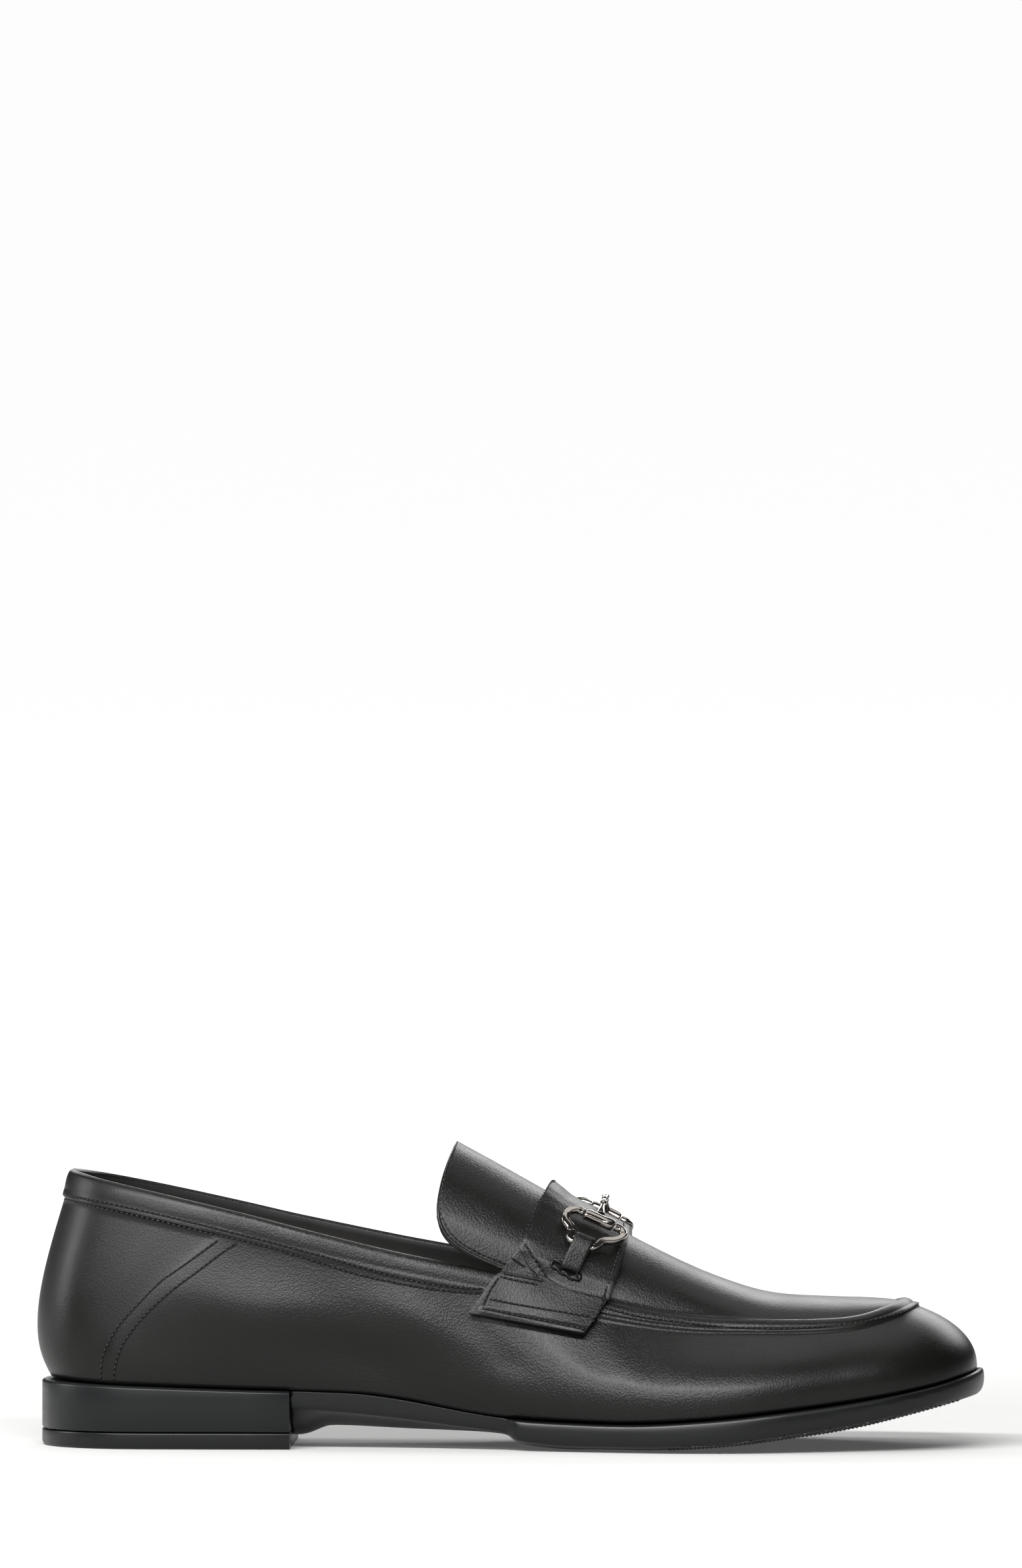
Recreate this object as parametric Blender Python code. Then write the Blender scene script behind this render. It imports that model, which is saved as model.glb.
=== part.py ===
"""A bit loafer for the right foot, life size and standing on its sole.

The toe points to +X, the lateral side to -Y and up is +Z. The sole comes from an outline and a side
profile. The upper's wall is a loop of curved columns that climb from the feather edge of the sole to a rim,
which is the topline at the collar and the apron's seam in front. Arches over that rim make the apron, the
tongue and the strap.
"""

import math
from typing import NamedTuple

import bmesh
import bpy
import numpy as np
from mathutils import Matrix

MM = 0.001

# Driving sizes
SHOE_LENGTH = 300.0 * MM  # back of the counter to the tip of the sole
COUNTER_BULGE = 2.5 * MM  # the counter stands this far behind the heel
BALL_WIDTH = 105.0 * MM
HEEL_HEIGHT = 20.8 * MM  # floor to the heel seat, at the back
SOLE_THICKNESS = 9.2 * MM  # at the ball
TOE_SPRING = 16.0 * MM
COLLAR_HEIGHT = 86.8 * MM  # floor to the topline, at the back
UPPER_INSET = 2.4 * MM  # the sole's edge stands this far outside the upper
EDGE_BULGE = 2.2 * MM  # the forepart's rounded edge stands this far outside the waist
LIFT_THICKNESS = 5.1 * MM
LIFT_RADIUS = 0.9 * MM
HEEL_LIP = 0.7 * MM  # the heel block's upper edge is rounded this far in
UPPER_WALL = 2.0 * MM
COUNTER_STEP = 0.6 * MM  # the quarters lie this much over the counter
BAND_WIDTH = 8.7 * MM  # collar band at the back
BEAD_RAISE = 1.5 * MM  # the apron's bead stands this far off the vamp
COLLAR_ROLL = 0.7 * MM
MEDIAL_RISE = 2.0 * MM  # the medial topline is this much higher beside the tongue
INSOLE_THICKNESS = 2.5 * MM
TONGUE_THICKNESS = 2.2 * MM
STRAP_THICKNESS = 2.1 * MM
STRAP_LIFT = 1.4 * MM  # the strap's rear edge stands off the tongue at the top
TAB_DROP = 14.8 * MM  # the strap's tabs reach this far below the rim
NOTCH_DEPTH = 1.1 * MM
RING_LENGTH = 19.6 * MM  # along the instep, between the middles of the lobes
RING_BAND = 2.8 * MM
RING_THICKNESS = 2.2 * MM
BAR_LENGTH = 10.0 * MM
BAR_WIDTH = 4.2 * MM
BAR_HEIGHT = 3.2 * MM
LINK_RADIUS = 1.6 * MM  # at its wide ends
LINK_RISE = 1.5 * MM  # the link's middle stands this much higher than its ends
KEEPER_WIDTH = 6.6 * MM
KEEPER_THICKNESS = 1.0 * MM
KEEPER_REACH = 8.6 * MM  # from the ring's lower bar down to the strap's slot
GAP = 0.3 * MM

SOLE_LENGTH = SHOE_LENGTH - COUNTER_BULGE

# Places along the sole, as shares of its length from the heel
BREAST = 0.267
HEEL_ROUND = 0.11
TOE_ROUND = 0.13
HEEL_POWER = 2.15  # 2 is round, and more is squarer
TOE_POWER = 2.3
BREAST_FACE = COUNTER_BULGE + BREAST * SOLE_LENGTH
# Places round the edge, heel 0 to toe 1, where the round ends begin
HEEL_TURN = 0.2
TOE_TURN = 0.75


class Outline(NamedTuple):
    """The sole's outline: half widths as shares of BALL_WIDTH."""

    along: float
    lateral: float
    medial: float


OUTLINE = (
    Outline(0.00, 0.312, 0.312),
    Outline(0.12, 0.316, 0.314),
    Outline(0.22, 0.314, 0.306),
    Outline(0.32, 0.312, 0.282),
    Outline(0.42, 0.332, 0.264),
    Outline(0.52, 0.392, 0.296),
    Outline(0.60, 0.452, 0.368),
    Outline(0.68, 0.503, 0.440),
    Outline(0.74, 0.512, 0.474),
    Outline(0.80, 0.482, 0.468),
    Outline(0.87, 0.422, 0.430),
    Outline(1.00, 0.340, 0.358),
)


class Profile(NamedTuple):
    """The sole from the side.

    The top is rise of HEEL_HEIGHT, body of SOLE_THICKNESS and spring of TOE_SPRING together. The lower edge
    and the keel, its middle line, are shares of HEEL_HEIGHT over the same spring.
    """

    along: float
    rise: float
    body: float
    spring: float
    edge: float
    keel: float


PROFILE = (
    Profile(0.000, 1.000, 0.000, 0.000, 0.610, 0.130),
    Profile(0.130, 0.940, 0.000, 0.000, 0.610, 0.130),
    Profile(0.267, 0.880, 0.000, 0.000, 0.610, 0.130),
    Profile(0.280, 0.878, 0.000, 0.000, 0.600, 0.140),
    Profile(0.293, 0.872, 0.000, 0.000, 0.585, 0.210),
    Profile(0.304, 0.860, 0.010, 0.000, 0.570, 0.290),
    Profile(0.332, 0.815, 0.090, 0.000, 0.535, 0.285),
    Profile(0.387, 0.633, 0.280, 0.000, 0.455, 0.250),
    Profile(0.443, 0.365, 0.550, 0.000, 0.350, 0.235),
    Profile(0.497, 0.125, 0.840, 0.000, 0.255, 0.210),
    Profile(0.508, 0.110, 0.860, 0.000, 0.145, 0.100),
    Profile(0.527, 0.070, 0.905, 0.000, 0.100, 0.045),
    Profile(0.555, 0.030, 0.970, 0.000, 0.058, 0.000),
    Profile(0.624, 0.000, 0.990, 0.000, 0.058, 0.000),
    Profile(0.652, 0.000, 1.015, 0.000, 0.058, 0.000),
    Profile(0.680, 0.000, 1.043, 0.020, 0.058, 0.000),
    Profile(0.736, 0.000, 1.061, 0.094, 0.058, 0.000),
    Profile(0.792, 0.000, 1.035, 0.230, 0.058, 0.000),
    Profile(0.848, 0.000, 1.009, 0.370, 0.058, 0.000),
    Profile(0.904, 0.000, 0.930, 0.580, 0.058, 0.010),
    Profile(0.960, 0.000, 0.878, 0.820, 0.058, 0.034),
    Profile(1.000, 0.000, 1.000, 1.000, 0.058, 0.058),
)


class Edge(NamedTuple):
    """The sole's side wall, top to bottom: insets as shares of EDGE_BULGE, in the forepart and the waist."""

    height: float
    forepart: float
    waist: float


SOLE_EDGE = (
    Edge(1.00, 0.62, 1.00),
    Edge(0.93, 0.22, 1.00),
    Edge(0.78, 0.05, 1.02),
    Edge(0.55, 0.00, 1.06),
    Edge(0.30, 0.08, 1.14),
    Edge(0.10, 0.34, 1.28),
    Edge(0.00, 0.85, 1.60),
)
STEP_START = 0.494
STEP_END = 0.510
# Places of the sole's rings along it
WAIST_STATIONS = (0.275, 0.283, 0.293, 0.304, 0.32, 0.34, 0.365, 0.39, 0.415, 0.443, 0.47)
STEP_STATIONS = (0.494, 0.498, 0.502, 0.506, 0.510, 0.517, 0.53)
FOREPART_STATIONS = (0.555, 0.585, 0.62, 0.652, 0.68, 0.71, 0.74, 0.77, 0.80, 0.835)
HEEL_STATIONS = (0.14, 0.18, 0.225)
ROUND_STEPS = 7


class Section(NamedTuple):
    """One column of the upper's wall, and the arch that springs from its rim.

    foot: where it stands, round the edge from heel 0 to toe 1.
    along: where its rim is, a share of SHOE_LENGTH. half and swing: the rim's half width and its shift to the
    medial side, shares of BALL_WIDTH. height: the rim's, a share of COLLAR_HEIGHT.
    foot_out, foot_up, rim_out, rim_down, sweep: its handles, as shares of the column's height.
    band and puff: the collar band or bead, shares of BAND_WIDTH and BEAD_RAISE.
    medial: share of MEDIAL_RISE. crown: the arch's rise, a share of COLLAR_HEIGHT. shoulder: 0 is a flat arch
    and 1 a full one.
    """

    foot: float
    along: float
    half: float
    swing: float
    height: float
    foot_out: float
    foot_up: float
    rim_out: float
    rim_down: float
    sweep: float
    band: float
    puff: float
    medial: float
    crown: float
    shoulder: float


SECTIONS = (
    Section(0.0, 0.037, 0.0, 0.0, 0.995, 0.19, 0.23, 0.065, 0.28, 0.0, 1.0, 0.4, 0.0, 0.52, 0.8),
    Section(0.08, 0.068, 0.166, 0.0, 0.972, 0.15, 0.23, 0.06, 0.28, -0.06, 1.0, 0.4, 0.0, 0.52, 0.8),
    Section(0.115, 0.133, 0.243, 0.0, 0.924, 0.11, 0.25, 0.05, 0.3, -0.18, 0.98, 0.4, 0.0, 0.52, 0.8),
    Section(0.146, 0.218, 0.284, 0.0, 0.857, 0.085, 0.31, 0.045, 0.35, -0.36, 0.95, 0.4, 0.0, 0.52, 0.8),
    Section(0.218, 0.26, 0.293, 0.0, 0.82, 0.085, 0.3, 0.05, 0.32, -0.22, 0.94, 0.42, 0.1, 0.52, 0.8),
    Section(0.315, 0.312, 0.301, 0.0, 0.775, 0.11, 0.29, 0.055, 0.29, -0.1, 0.92, 0.45, 0.4, 0.52, 0.8),
    Section(0.39, 0.389, 0.305, -0.004, 0.713, 0.145, 0.29, 0.08, 0.28, -0.03, 0.9, 0.48, 0.8, 0.483, 0.8),
    Section(0.445, 0.467, 0.3, -0.006, 0.66, 0.16, 0.3, 0.1, 0.3, 0.0, 0.88, 0.5, 1.0, 0.393, 0.8),
    Section(0.513, 0.547, 0.29, -0.008, 0.6, 0.15, 0.33, 0.13, 0.32, 0.0, 0.84, 0.6, 0.6, 0.304, 0.76),
    Section(0.572, 0.627, 0.277, -0.012, 0.529, 0.15, 0.4, 0.19, 0.34, 0.0, 0.78, 0.85, 0.2, 0.234, 0.7),
    Section(0.62, 0.693, 0.262, -0.015, 0.489, 0.165, 0.47, 0.27, 0.35, 0.0, 0.76, 1.0, 0.0, 0.163, 0.6),
    Section(0.69, 0.767, 0.249, -0.014, 0.476, 0.17, 0.52, 0.35, 0.34, 0.0, 0.75, 1.0, 0.0, 0.086, 0.45),
    Section(0.765, 0.833, 0.232, -0.009, 0.474, 0.14, 0.52, 0.43, 0.3, 0.0, 0.75, 1.0, 0.0, 0.07, 0.4),
    Section(0.84, 0.87, 0.203, -0.004, 0.484, 0.095, 0.5, 0.54, 0.24, 0.0, 0.76, 1.0, 0.0, 0.056, 0.4),
    Section(0.915, 0.897, 0.13, 0.0, 0.512, 0.055, 0.48, 0.64, 0.18, 0.0, 0.78, 1.0, 0.0, 0.022, 0.4),
    Section(1.0, 0.9087, 0.0, 0.0, 0.528, 0.04, 0.485, 0.675, 0.136, 0.0, 0.8, 1.0, 0.0, 0.0, 0.4),
)
LAST = len(SECTIONS) - 1
SEAM_SECTION = 3  # the quarters' rear edge runs up this column
THROAT_SECTION = 8  # the apron starts here, under the strap
COLUMNS_BETWEEN = (4, 3, 3, 2, 3, 3, 3, 3, 3, 2, 3, 3, 3, 3, 4)
SEAM_STEP = 0.05  # width of the quarters' edge, as a share of the way to the next section
BODY_ROWS = 7
LINING_ROWS = 6
APRON_COLUMNS = 12


class Relief(NamedTuple):
    """The band's relief: across runs from its seam 0 to the rim 1, and raised is a share of its raise."""

    across: float
    raised: float


BAND_RELIEF = (
    Relief(0.00, 0.00),
    Relief(0.05, 0.55),
    Relief(0.20, 0.78),
    Relief(0.30, 0.50),
    Relief(0.45, 0.92),
    Relief(0.70, 1.00),
    Relief(0.92, 0.62),
    Relief(1.00, 0.00),
)


class TongueEdge(NamedTuple):
    """The tongue's rear edge: across is a share of the arch from its rim, and rear a share of SHOE_LENGTH."""

    across: float
    rear: float


TONGUE_EDGE = (
    TongueEdge(0.014, 0.492),
    TongueEdge(0.024, 0.467),
    TongueEdge(0.034, 0.453),
    TongueEdge(0.045, 0.441),
    TongueEdge(0.060, 0.434),
    TongueEdge(0.080, 0.430),
    TongueEdge(0.105, 0.428),
    TongueEdge(0.140, 0.429),
    TongueEdge(0.195, 0.432),
    TongueEdge(0.255, 0.436),
    TongueEdge(0.330, 0.441),
    TongueEdge(0.410, 0.4445),
    TongueEdge(0.500, 0.446),
)
TONGUE_STATIONS = 8


class StrapEdge(NamedTuple):
    """The strap's edges. across is 0 on the instep, 1 at the rim and 2 at the tab's lower edge."""

    across: float
    rear: float
    front: float


STRAP_EDGE = (
    StrapEdge(0.00, 0.542, 0.622),
    StrapEdge(0.25, 0.537, 0.624),
    StrapEdge(0.50, 0.529, 0.623),
    StrapEdge(0.76, 0.518, 0.618),
    StrapEdge(1.00, 0.493, 0.609),
    StrapEdge(1.50, 0.480, 0.599),
    StrapEdge(2.00, 0.468, 0.587),
)
STRAP_ROWS = 36
STRAP_STATIONS = 8
LIFTED_LENGTH = 0.28  # the strap touches down this far forward of its rear edge
LIFTED_ACROSS = (0.2, 0.75)  # and between these places down its side
RAISED_ACROSS = (0.65, 0.98)  # where the strap starts to climb the band
# The notch in the strap's upper layer: its two mouths and its tip, as places across and shares forward
NOTCH_MOUTH_TOP = (0.80, -0.10)
NOTCH_MOUTH_LOW = (1.03, -0.10)
NOTCH_TIP = (1.19, 0.48)
NOTCH_STEPS = 5

# The bit's place on the lateral side, and the same mirrored on the medial side
BIT_ALONG = 0.585
BIT_ACROSS = 0.53
INSTEP_SLOPE = math.radians(28)
SIDE_FORESHORTENING = 0.74  # the instep's side leans, and looks this much shorter from the side
ARCH_REACH = 45.0 * MM  # along the strap from the instep's middle to the rim


class RingPoint(NamedTuple):
    """Half of the ring's path, from the bar to the lower bar, as shares of half the RING_LENGTH."""

    along: float
    down: float


RING_HALF = (
    RingPoint(0.56, -0.48),
    RingPoint(0.80, -0.47),
    RingPoint(0.97, -0.27),
    RingPoint(1.00, 0.00),
    RingPoint(0.88, 0.22),
    RingPoint(0.66, 0.35),
    RingPoint(0.53, 0.50),
    RingPoint(0.50, 0.66),
    RingPoint(0.41, 0.775),
    RingPoint(0.25, 0.78),
    RingPoint(0.00, 0.78),
)
class Turned(NamedTuple):
    """The link's outline: place is 0 at the bar and 1 on the instep, and radius a share of LINK_RADIUS."""

    place: float
    radius: float


LINK_OUTLINE = (
    Turned(0.00, 1.00),
    Turned(0.10, 0.92),
    Turned(0.34, 0.46),
    Turned(0.42, 0.46),
    Turned(0.47, 0.72),
    Turned(0.55, 0.72),
    Turned(0.59, 0.45),
    Turned(0.66, 0.45),
    Turned(0.71, 0.68),
    Turned(0.79, 0.68),
    Turned(0.83, 0.45),
    Turned(0.91, 0.74),
    Turned(1.00, 0.86),
)


class Corner(NamedTuple):
    """A corner of the section of the bit's flat metal: shares of its width across, and of its height up."""

    across: float
    up: float


METAL_SECTION = (
    Corner(-0.5, 0.25),
    Corner(-0.3, 0.0),
    Corner(0.3, 0.0),
    Corner(0.5, 0.25),
    Corner(0.5, 0.7),
    Corner(0.3, 1.0),
    Corner(-0.3, 1.0),
    Corner(-0.5, 0.7),
)


class BarRing(NamedTuple):
    """A ring of the bar: its place as a share of BAR_LENGTH, and its size as a share of the full section."""

    along: float
    grow: float


BAR_RINGS = (
    BarRing(-0.50, 0.8),
    BarRing(-0.46, 1.0),
    BarRing(-0.15, 1.0),
    BarRing(0.15, 1.0),
    BarRing(0.46, 1.0),
    BarRing(0.50, 0.8),
)
# The keeper goes round the ring's lower bar with a gap at the corners, and the bit rides on the keepers
KEEPER_BORE = math.hypot(RING_BAND / 2, 0.2 * RING_THICKNESS) + GAP
BIT_MIDDLE = KEEPER_BORE + KEEPER_THICKNESS + GAP  # the middle of the bit's metal over the strap
KEEPER_TURN_STEPS = 8
KEEPER_SLACK = 1.6  # half way down, the upper leaf stands off the lower one by this many thicknesses
KEEPER_EDGE = ((-0.5, 1), (0.0, 1), (0.5, 1), (0.5, -1), (0.0, -1), (-0.5, -1))


def ramp(low, high, x):
    """0 up to low, 1 from high, and smooth between."""
    share = min(1.0, max(0.0, (x - low) / (high - low)))
    return share * share * (3 - 2 * share)


def smooth_table(rows, field, x):
    """A field of a table at x, on a curve that never swings past its rows."""
    xs = [row[0] for row in rows]
    ys = [getattr(row, field) for row in rows]
    if x <= xs[0]:
        return ys[0]
    if x >= xs[-1]:
        return ys[-1]
    slopes = [(ys[i + 1] - ys[i]) / (xs[i + 1] - xs[i]) for i in range(len(xs) - 1)]
    tangents = [slopes[0]]
    for before, after in zip(slopes, slopes[1:]):
        tangents.append(2 * before * after / (before + after) if before * after > 0 else 0.0)
    tangents.append(slopes[-1])
    i = max(k for k in range(len(xs) - 1) if xs[k] <= x)
    width = xs[i + 1] - xs[i]
    t = (x - xs[i]) / width
    return (
        (1 + 2 * t) * (1 - t) ** 2 * ys[i]
        + t * (1 - t) ** 2 * width * tangents[i]
        + t * t * (3 - 2 * t) * ys[i + 1]
        + t * t * (t - 1) * width * tangents[i + 1]
    )


def unit(vector):
    return vector / max(np.linalg.norm(vector), 1e-12)


def bezier(points, t):
    a, b, c, d = points
    return (1 - t) ** 3 * a + 3 * (1 - t) ** 2 * t * b + 3 * (1 - t) * t * t * c + t**3 * d


def spline(a, b, c, d, t):
    """A point between b and c on the smooth curve through four in a row."""
    return (
        b
        + 0.5 * t * (c - a)
        + t * t * (a - 2.5 * b + 2 * c - 0.5 * d)
        + t**3 * (1.5 * (b - c) + 0.5 * (d - a))
    )


def sole_top(along):
    return (
        smooth_table(PROFILE, "rise", along) * HEEL_HEIGHT
        + smooth_table(PROFILE, "body", along) * SOLE_THICKNESS
        + smooth_table(PROFILE, "spring", along) * TOE_SPRING
    )


def sole_under(along, field):
    """The height of the lower edge or of the keel."""
    return (
        smooth_table(PROFILE, field, along) * HEEL_HEIGHT
        + smooth_table(PROFILE, "spring", along) * TOE_SPRING
    )


def edge_place(turn):
    """Where a place round the edge lies along the sole, and how the round ends narrow the sole there."""
    if turn < HEEL_TURN:
        angle = math.pi / 2 * turn / HEEL_TURN
        power = 2 / HEEL_POWER
        return HEEL_ROUND * (1 - math.cos(angle) ** power), math.sin(angle) ** power
    if turn > TOE_TURN:
        angle = math.pi / 2 * (turn - TOE_TURN) / (1 - TOE_TURN)
        power = 2 / TOE_POWER
        return 1 - TOE_ROUND + TOE_ROUND * math.sin(angle) ** power, max(math.cos(angle), 0.0) ** power
    share = (turn - HEEL_TURN) / (TOE_TURN - HEEL_TURN)
    return HEEL_ROUND + share * (1 - TOE_ROUND - HEEL_ROUND), 1.0


def edge_turn(along):
    """The place round the edge that lies at a share of the sole's length between its round ends."""
    share = (along - HEEL_ROUND) / (1 - TOE_ROUND - HEEL_ROUND)
    return HEEL_TURN + share * (TOE_TURN - HEEL_TURN)


def outline_at(turn):
    """A point on the outline: 0 to 1 is the lateral side, heel to toe, and 1 to 2 the medial side back."""
    turn %= 2.0
    lateral = turn <= 1.0
    along, narrowing = edge_place(turn if lateral else 2.0 - turn)
    half = smooth_table(OUTLINE, "lateral" if lateral else "medial", along) * BALL_WIDTH * narrowing
    return np.array([COUNTER_BULGE + along * SOLE_LENGTH, -half if lateral else half])


def outline_inset(turn, inset):
    """The outline's point moved inwards, with its outward direction."""
    point = outline_at(turn)
    step = 0.004
    ahead = outline_at(turn + step) - outline_at(turn - step)
    outward = unit(np.array([ahead[1], -ahead[0]]))
    if turn % 1.0 == 0.0:
        outward = np.array([1.0 if turn % 2.0 == 1.0 else -1.0, 0.0])
    return point - outward * inset, np.array([outward[0], outward[1], 0.0])


def new_object(name, vertices, faces, material, smooth_angle=40):
    """One closed piece from its points and faces. Points that meet are merged, and faces turned outwards."""
    mesh = bpy.data.meshes.new(name)
    mesh.from_pydata([tuple(v) for v in vertices], [], faces)
    sheet = bmesh.new()
    sheet.from_mesh(mesh)
    bmesh.ops.remove_doubles(sheet, verts=sheet.verts, dist=0.01 * MM)
    bmesh.ops.recalc_face_normals(sheet, faces=sheet.faces)
    sheet.to_mesh(mesh)
    sheet.free()
    mesh.shade_smooth()
    mesh.set_sharp_from_angle(angle=math.radians(smooth_angle))
    mesh.materials.append(material)
    piece = bpy.data.objects.new(name, mesh)
    bpy.context.scene.collection.objects.link(piece)
    return piece


def loft(name, rings, material, smooth_angle=40):
    """A piece through rings of equally many points, capped at both ends."""
    count = len(rings[0])
    vertices = [point for ring in rings for point in ring]
    faces = []
    for r in range(len(rings) - 1):
        here, there = r * count, (r + 1) * count
        for k in range(count):
            after = (k + 1) % count
            faces.append((here + k, here + after, there + after, there + k))
    faces.append(tuple(range(count)))
    faces.append(tuple((len(rings) - 1) * count + k for k in range(count)))
    return new_object(name, vertices, faces, material, smooth_angle)


def sole_ring(turn, wall, top, under, keel, crown_steps=6, crown_power=1.0):
    """One ring across the sole at a place round its edge. wall lists height shares and insets, top to bottom.
    A crown_power of 1 rounds the underside, and 0 makes it flat between its edges."""
    sides = []
    for side_turn in (turn, 2.0 - turn):
        side = []
        for share, inset in wall:
            (x, y), _ = outline_inset(side_turn, inset)
            along = (x - COUNTER_BULGE) / SOLE_LENGTH
            side.append(np.array([x, y, under(along) + share * (top(along) - under(along))]))
        sides.append(side)
    lateral, medial = sides
    along = edge_place(turn)[0]
    belly = []
    for k in range(1, crown_steps):
        share = k / crown_steps
        point = lateral[-1] * (1 - share) + medial[-1] * share
        point[2] += (keel(along) - under(along)) * math.sin(math.pi * share) ** crown_power
        belly.append(point)
    return lateral + belly + medial[::-1]


def squared(ring, x):
    """A ring with all its points at one place along the shoe, for a face that is square to it."""
    return [np.array([x, point[1], point[2]]) for point in ring]


def round_turns(start, end):
    return [start + (end - start) * k / ROUND_STEPS for k in range(ROUND_STEPS + 1)]


def make_outsole(material):
    stations = WAIST_STATIONS + STEP_STATIONS + FOREPART_STATIONS
    turns = [edge_turn(BREAST + GAP / SOLE_LENGTH)]
    turns += [edge_turn(along) for along in stations]
    turns += round_turns(TOE_TURN, 1.0)
    rings = []
    for turn in turns:
        fore = ramp(STEP_START, STEP_END, edge_place(turn)[0])
        wall = [
            (row.height, (fore * row.forepart + (1 - fore) * row.waist) * EDGE_BULGE)
            for row in SOLE_EDGE
        ]
        rings.append(
            sole_ring(
                turn,
                wall,
                sole_top,
                lambda along: sole_under(along, "edge"),
                lambda along: sole_under(along, "keel"),
                crown_power=0.8 * (1 - fore),
            )
        )
    rings[0] = squared(rings[0], BREAST_FACE + GAP)
    return loft("outsole", rings, material)


def heel_piece(name, material, wall, top, under):
    turns = round_turns(0.0, HEEL_TURN) + [edge_turn(a) for a in HEEL_STATIONS + (BREAST,)]
    rings = [sole_ring(turn, wall, top, under, under, 2) for turn in turns]
    rings[-1] = squared(rings[-1], BREAST_FACE)
    return loft(name, rings, material)


def make_heel(block_material, lift_material):
    seam = HEEL_LIP / 3
    block_wall = [(1.0, HEEL_LIP), (0.95, 0.0), (0.03, 0.0), (0.0, seam)]
    lift_wall = [(1.0, seam), (0.95, 0.0), (0.2, 0.0), (0.06, 0.35 * LIFT_RADIUS), (0.0, LIFT_RADIUS)]
    heel_piece("heel_block", block_material, block_wall, sole_top, lambda along: LIFT_THICKNESS + GAP)
    heel_piece("heel_top_lift", lift_material, lift_wall, lambda along: LIFT_THICKNESS, lambda along: 0.0)


def make_insole(material):
    stations = HEEL_STATIONS + (BREAST,) + WAIST_STATIONS + STEP_STATIONS[::3] + FOREPART_STATIONS
    turns = round_turns(0.0, HEEL_TURN)
    turns += [edge_turn(along) for along in stations]
    turns += round_turns(TOE_TURN, 1.0)
    inset = UPPER_INSET + UPPER_WALL + 2 * GAP
    wall = [(1.0, inset), (0.0, inset)]

    def base(along):
        return sole_top(along) + GAP

    rings = [
        sole_ring(turn, wall, lambda along: base(along) + INSOLE_THICKNESS, base, base, 2) for turn in turns
    ]
    return loft("insole", rings, material)


def section_loop():
    """All the upper's sections once round: the lateral side from heel to toe, and the medial side back."""
    rows = [row._replace(half=-row.half) for row in SECTIONS]
    rows += [row._replace(foot=2.0 - row.foot) for row in SECTIONS[-2:0:-1]]
    return rows


SECTION_LOOP = section_loop()
LOOP_LENGTH = len(SECTION_LOOP)


def section_at(place):
    """The section at any place round the loop, on a curve through the rows beside it."""
    start = math.floor(place)
    rows = []
    for k in (start - 1, start, start + 1, start + 2):
        row = SECTION_LOOP[k % LOOP_LENGTH]
        rows.append(np.array(row._replace(foot=row.foot + 2.0 * (k // LOOP_LENGTH))))
    return Section._make(spline(*rows, place - start))


def column_at(place):
    """The four control points of the wall's column, foot to rim."""
    section = section_at(place)
    (x, y), outward = outline_inset(section.foot, UPPER_INSET)
    base = np.array([x, y, sole_top((x - COUNTER_BULGE) / SOLE_LENGTH) + GAP])
    rim_height = section.height * COLLAR_HEIGHT
    if section.half > 0:
        rim_height += section.medial * MEDIAL_RISE
    rim = np.array([section.along * SHOE_LENGTH, (section.half + section.swing) * BALL_WIDTH, rim_height])
    tall = rim[2] - base[2]
    up = np.array([0.0, 0.0, tall])
    forward = np.array([tall, 0.0, 0.0])
    low = base + outward * section.foot_out * tall + up * section.foot_up
    high = rim + outward * section.rim_out * tall - up * section.rim_down + forward * section.sweep
    return base, low, high, rim


def rim_at(place):
    return column_at(place)[3]


def share_below_rim(place, depth):
    """How far up its column a point lies that is the given depth below the rim, square to the rim."""
    points = column_at(place)
    rim = points[3]
    along_rim = unit(rim_at(place + 0.05) - rim_at(place - 0.05))
    low, high = 0.0, 1.0
    for _ in range(30):
        middle = (low + high) / 2
        away = bezier(points, middle) - rim
        away = away - along_rim * away.dot(along_rim)
        if np.linalg.norm(away) > depth:
            low = middle
        else:
            high = middle
    return (low + high) / 2


def wall_point(place, share):
    """A point of the wall and its outward normal."""
    points = column_at(place)
    point = bezier(points, share)
    climb = bezier(points, min(share + 0.01, 1.0)) - bezier(points, max(share - 0.01, 0.0))
    ahead = bezier(column_at(place + 0.04), share) - bezier(column_at(place - 0.04), share)
    return point, unit(np.cross(ahead, climb))


def arch_curve(place):
    """The four control points of the arch from the lateral rim to the medial rim of one section."""
    section = section_at(place)
    lateral, medial = rim_at(place), rim_at(LOOP_LENGTH - place)
    inward = (medial - lateral) * (1 - section.shoulder) / 3
    up = np.array([0.0, 0.0, section.crown * COLLAR_HEIGHT * 4 / 3])
    return lateral, lateral + inward + up, medial - inward + up, medial


def arch_point(place, across):
    """A point of the arch and its outward normal. across is 0 at the lateral rim and 1 at the medial rim."""
    curve = arch_curve(place)
    point = bezier(curve, across)
    low, high = max(across - 0.01, 0.0), min(across + 0.01, 1.0)
    sideways = bezier(curve, high) - bezier(curve, low)
    before, after = max(place - 0.05, 0.0), min(place + 0.05, LAST - 0.001)
    ahead = bezier(arch_curve(after), across) - bezier(arch_curve(before), across)
    return point, unit(np.cross(ahead, sideways))


def place_of(along):
    """The place round the loop, on the lateral side, where the rim lies at a share of SHOE_LENGTH."""
    low, high = 0.0, float(LAST)
    for _ in range(40):
        middle = (low + high) / 2
        if section_at(middle).along < along:
            low = middle
        else:
            high = middle
    return (low + high) / 2


def lateral_places():
    places = []
    for k, steps in enumerate(COLUMNS_BETWEEN):
        places += [k + step / steps for step in range(steps)]
    places.append(float(LAST))
    places.append(SEAM_SECTION + SEAM_STEP)
    return sorted(places)


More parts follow.
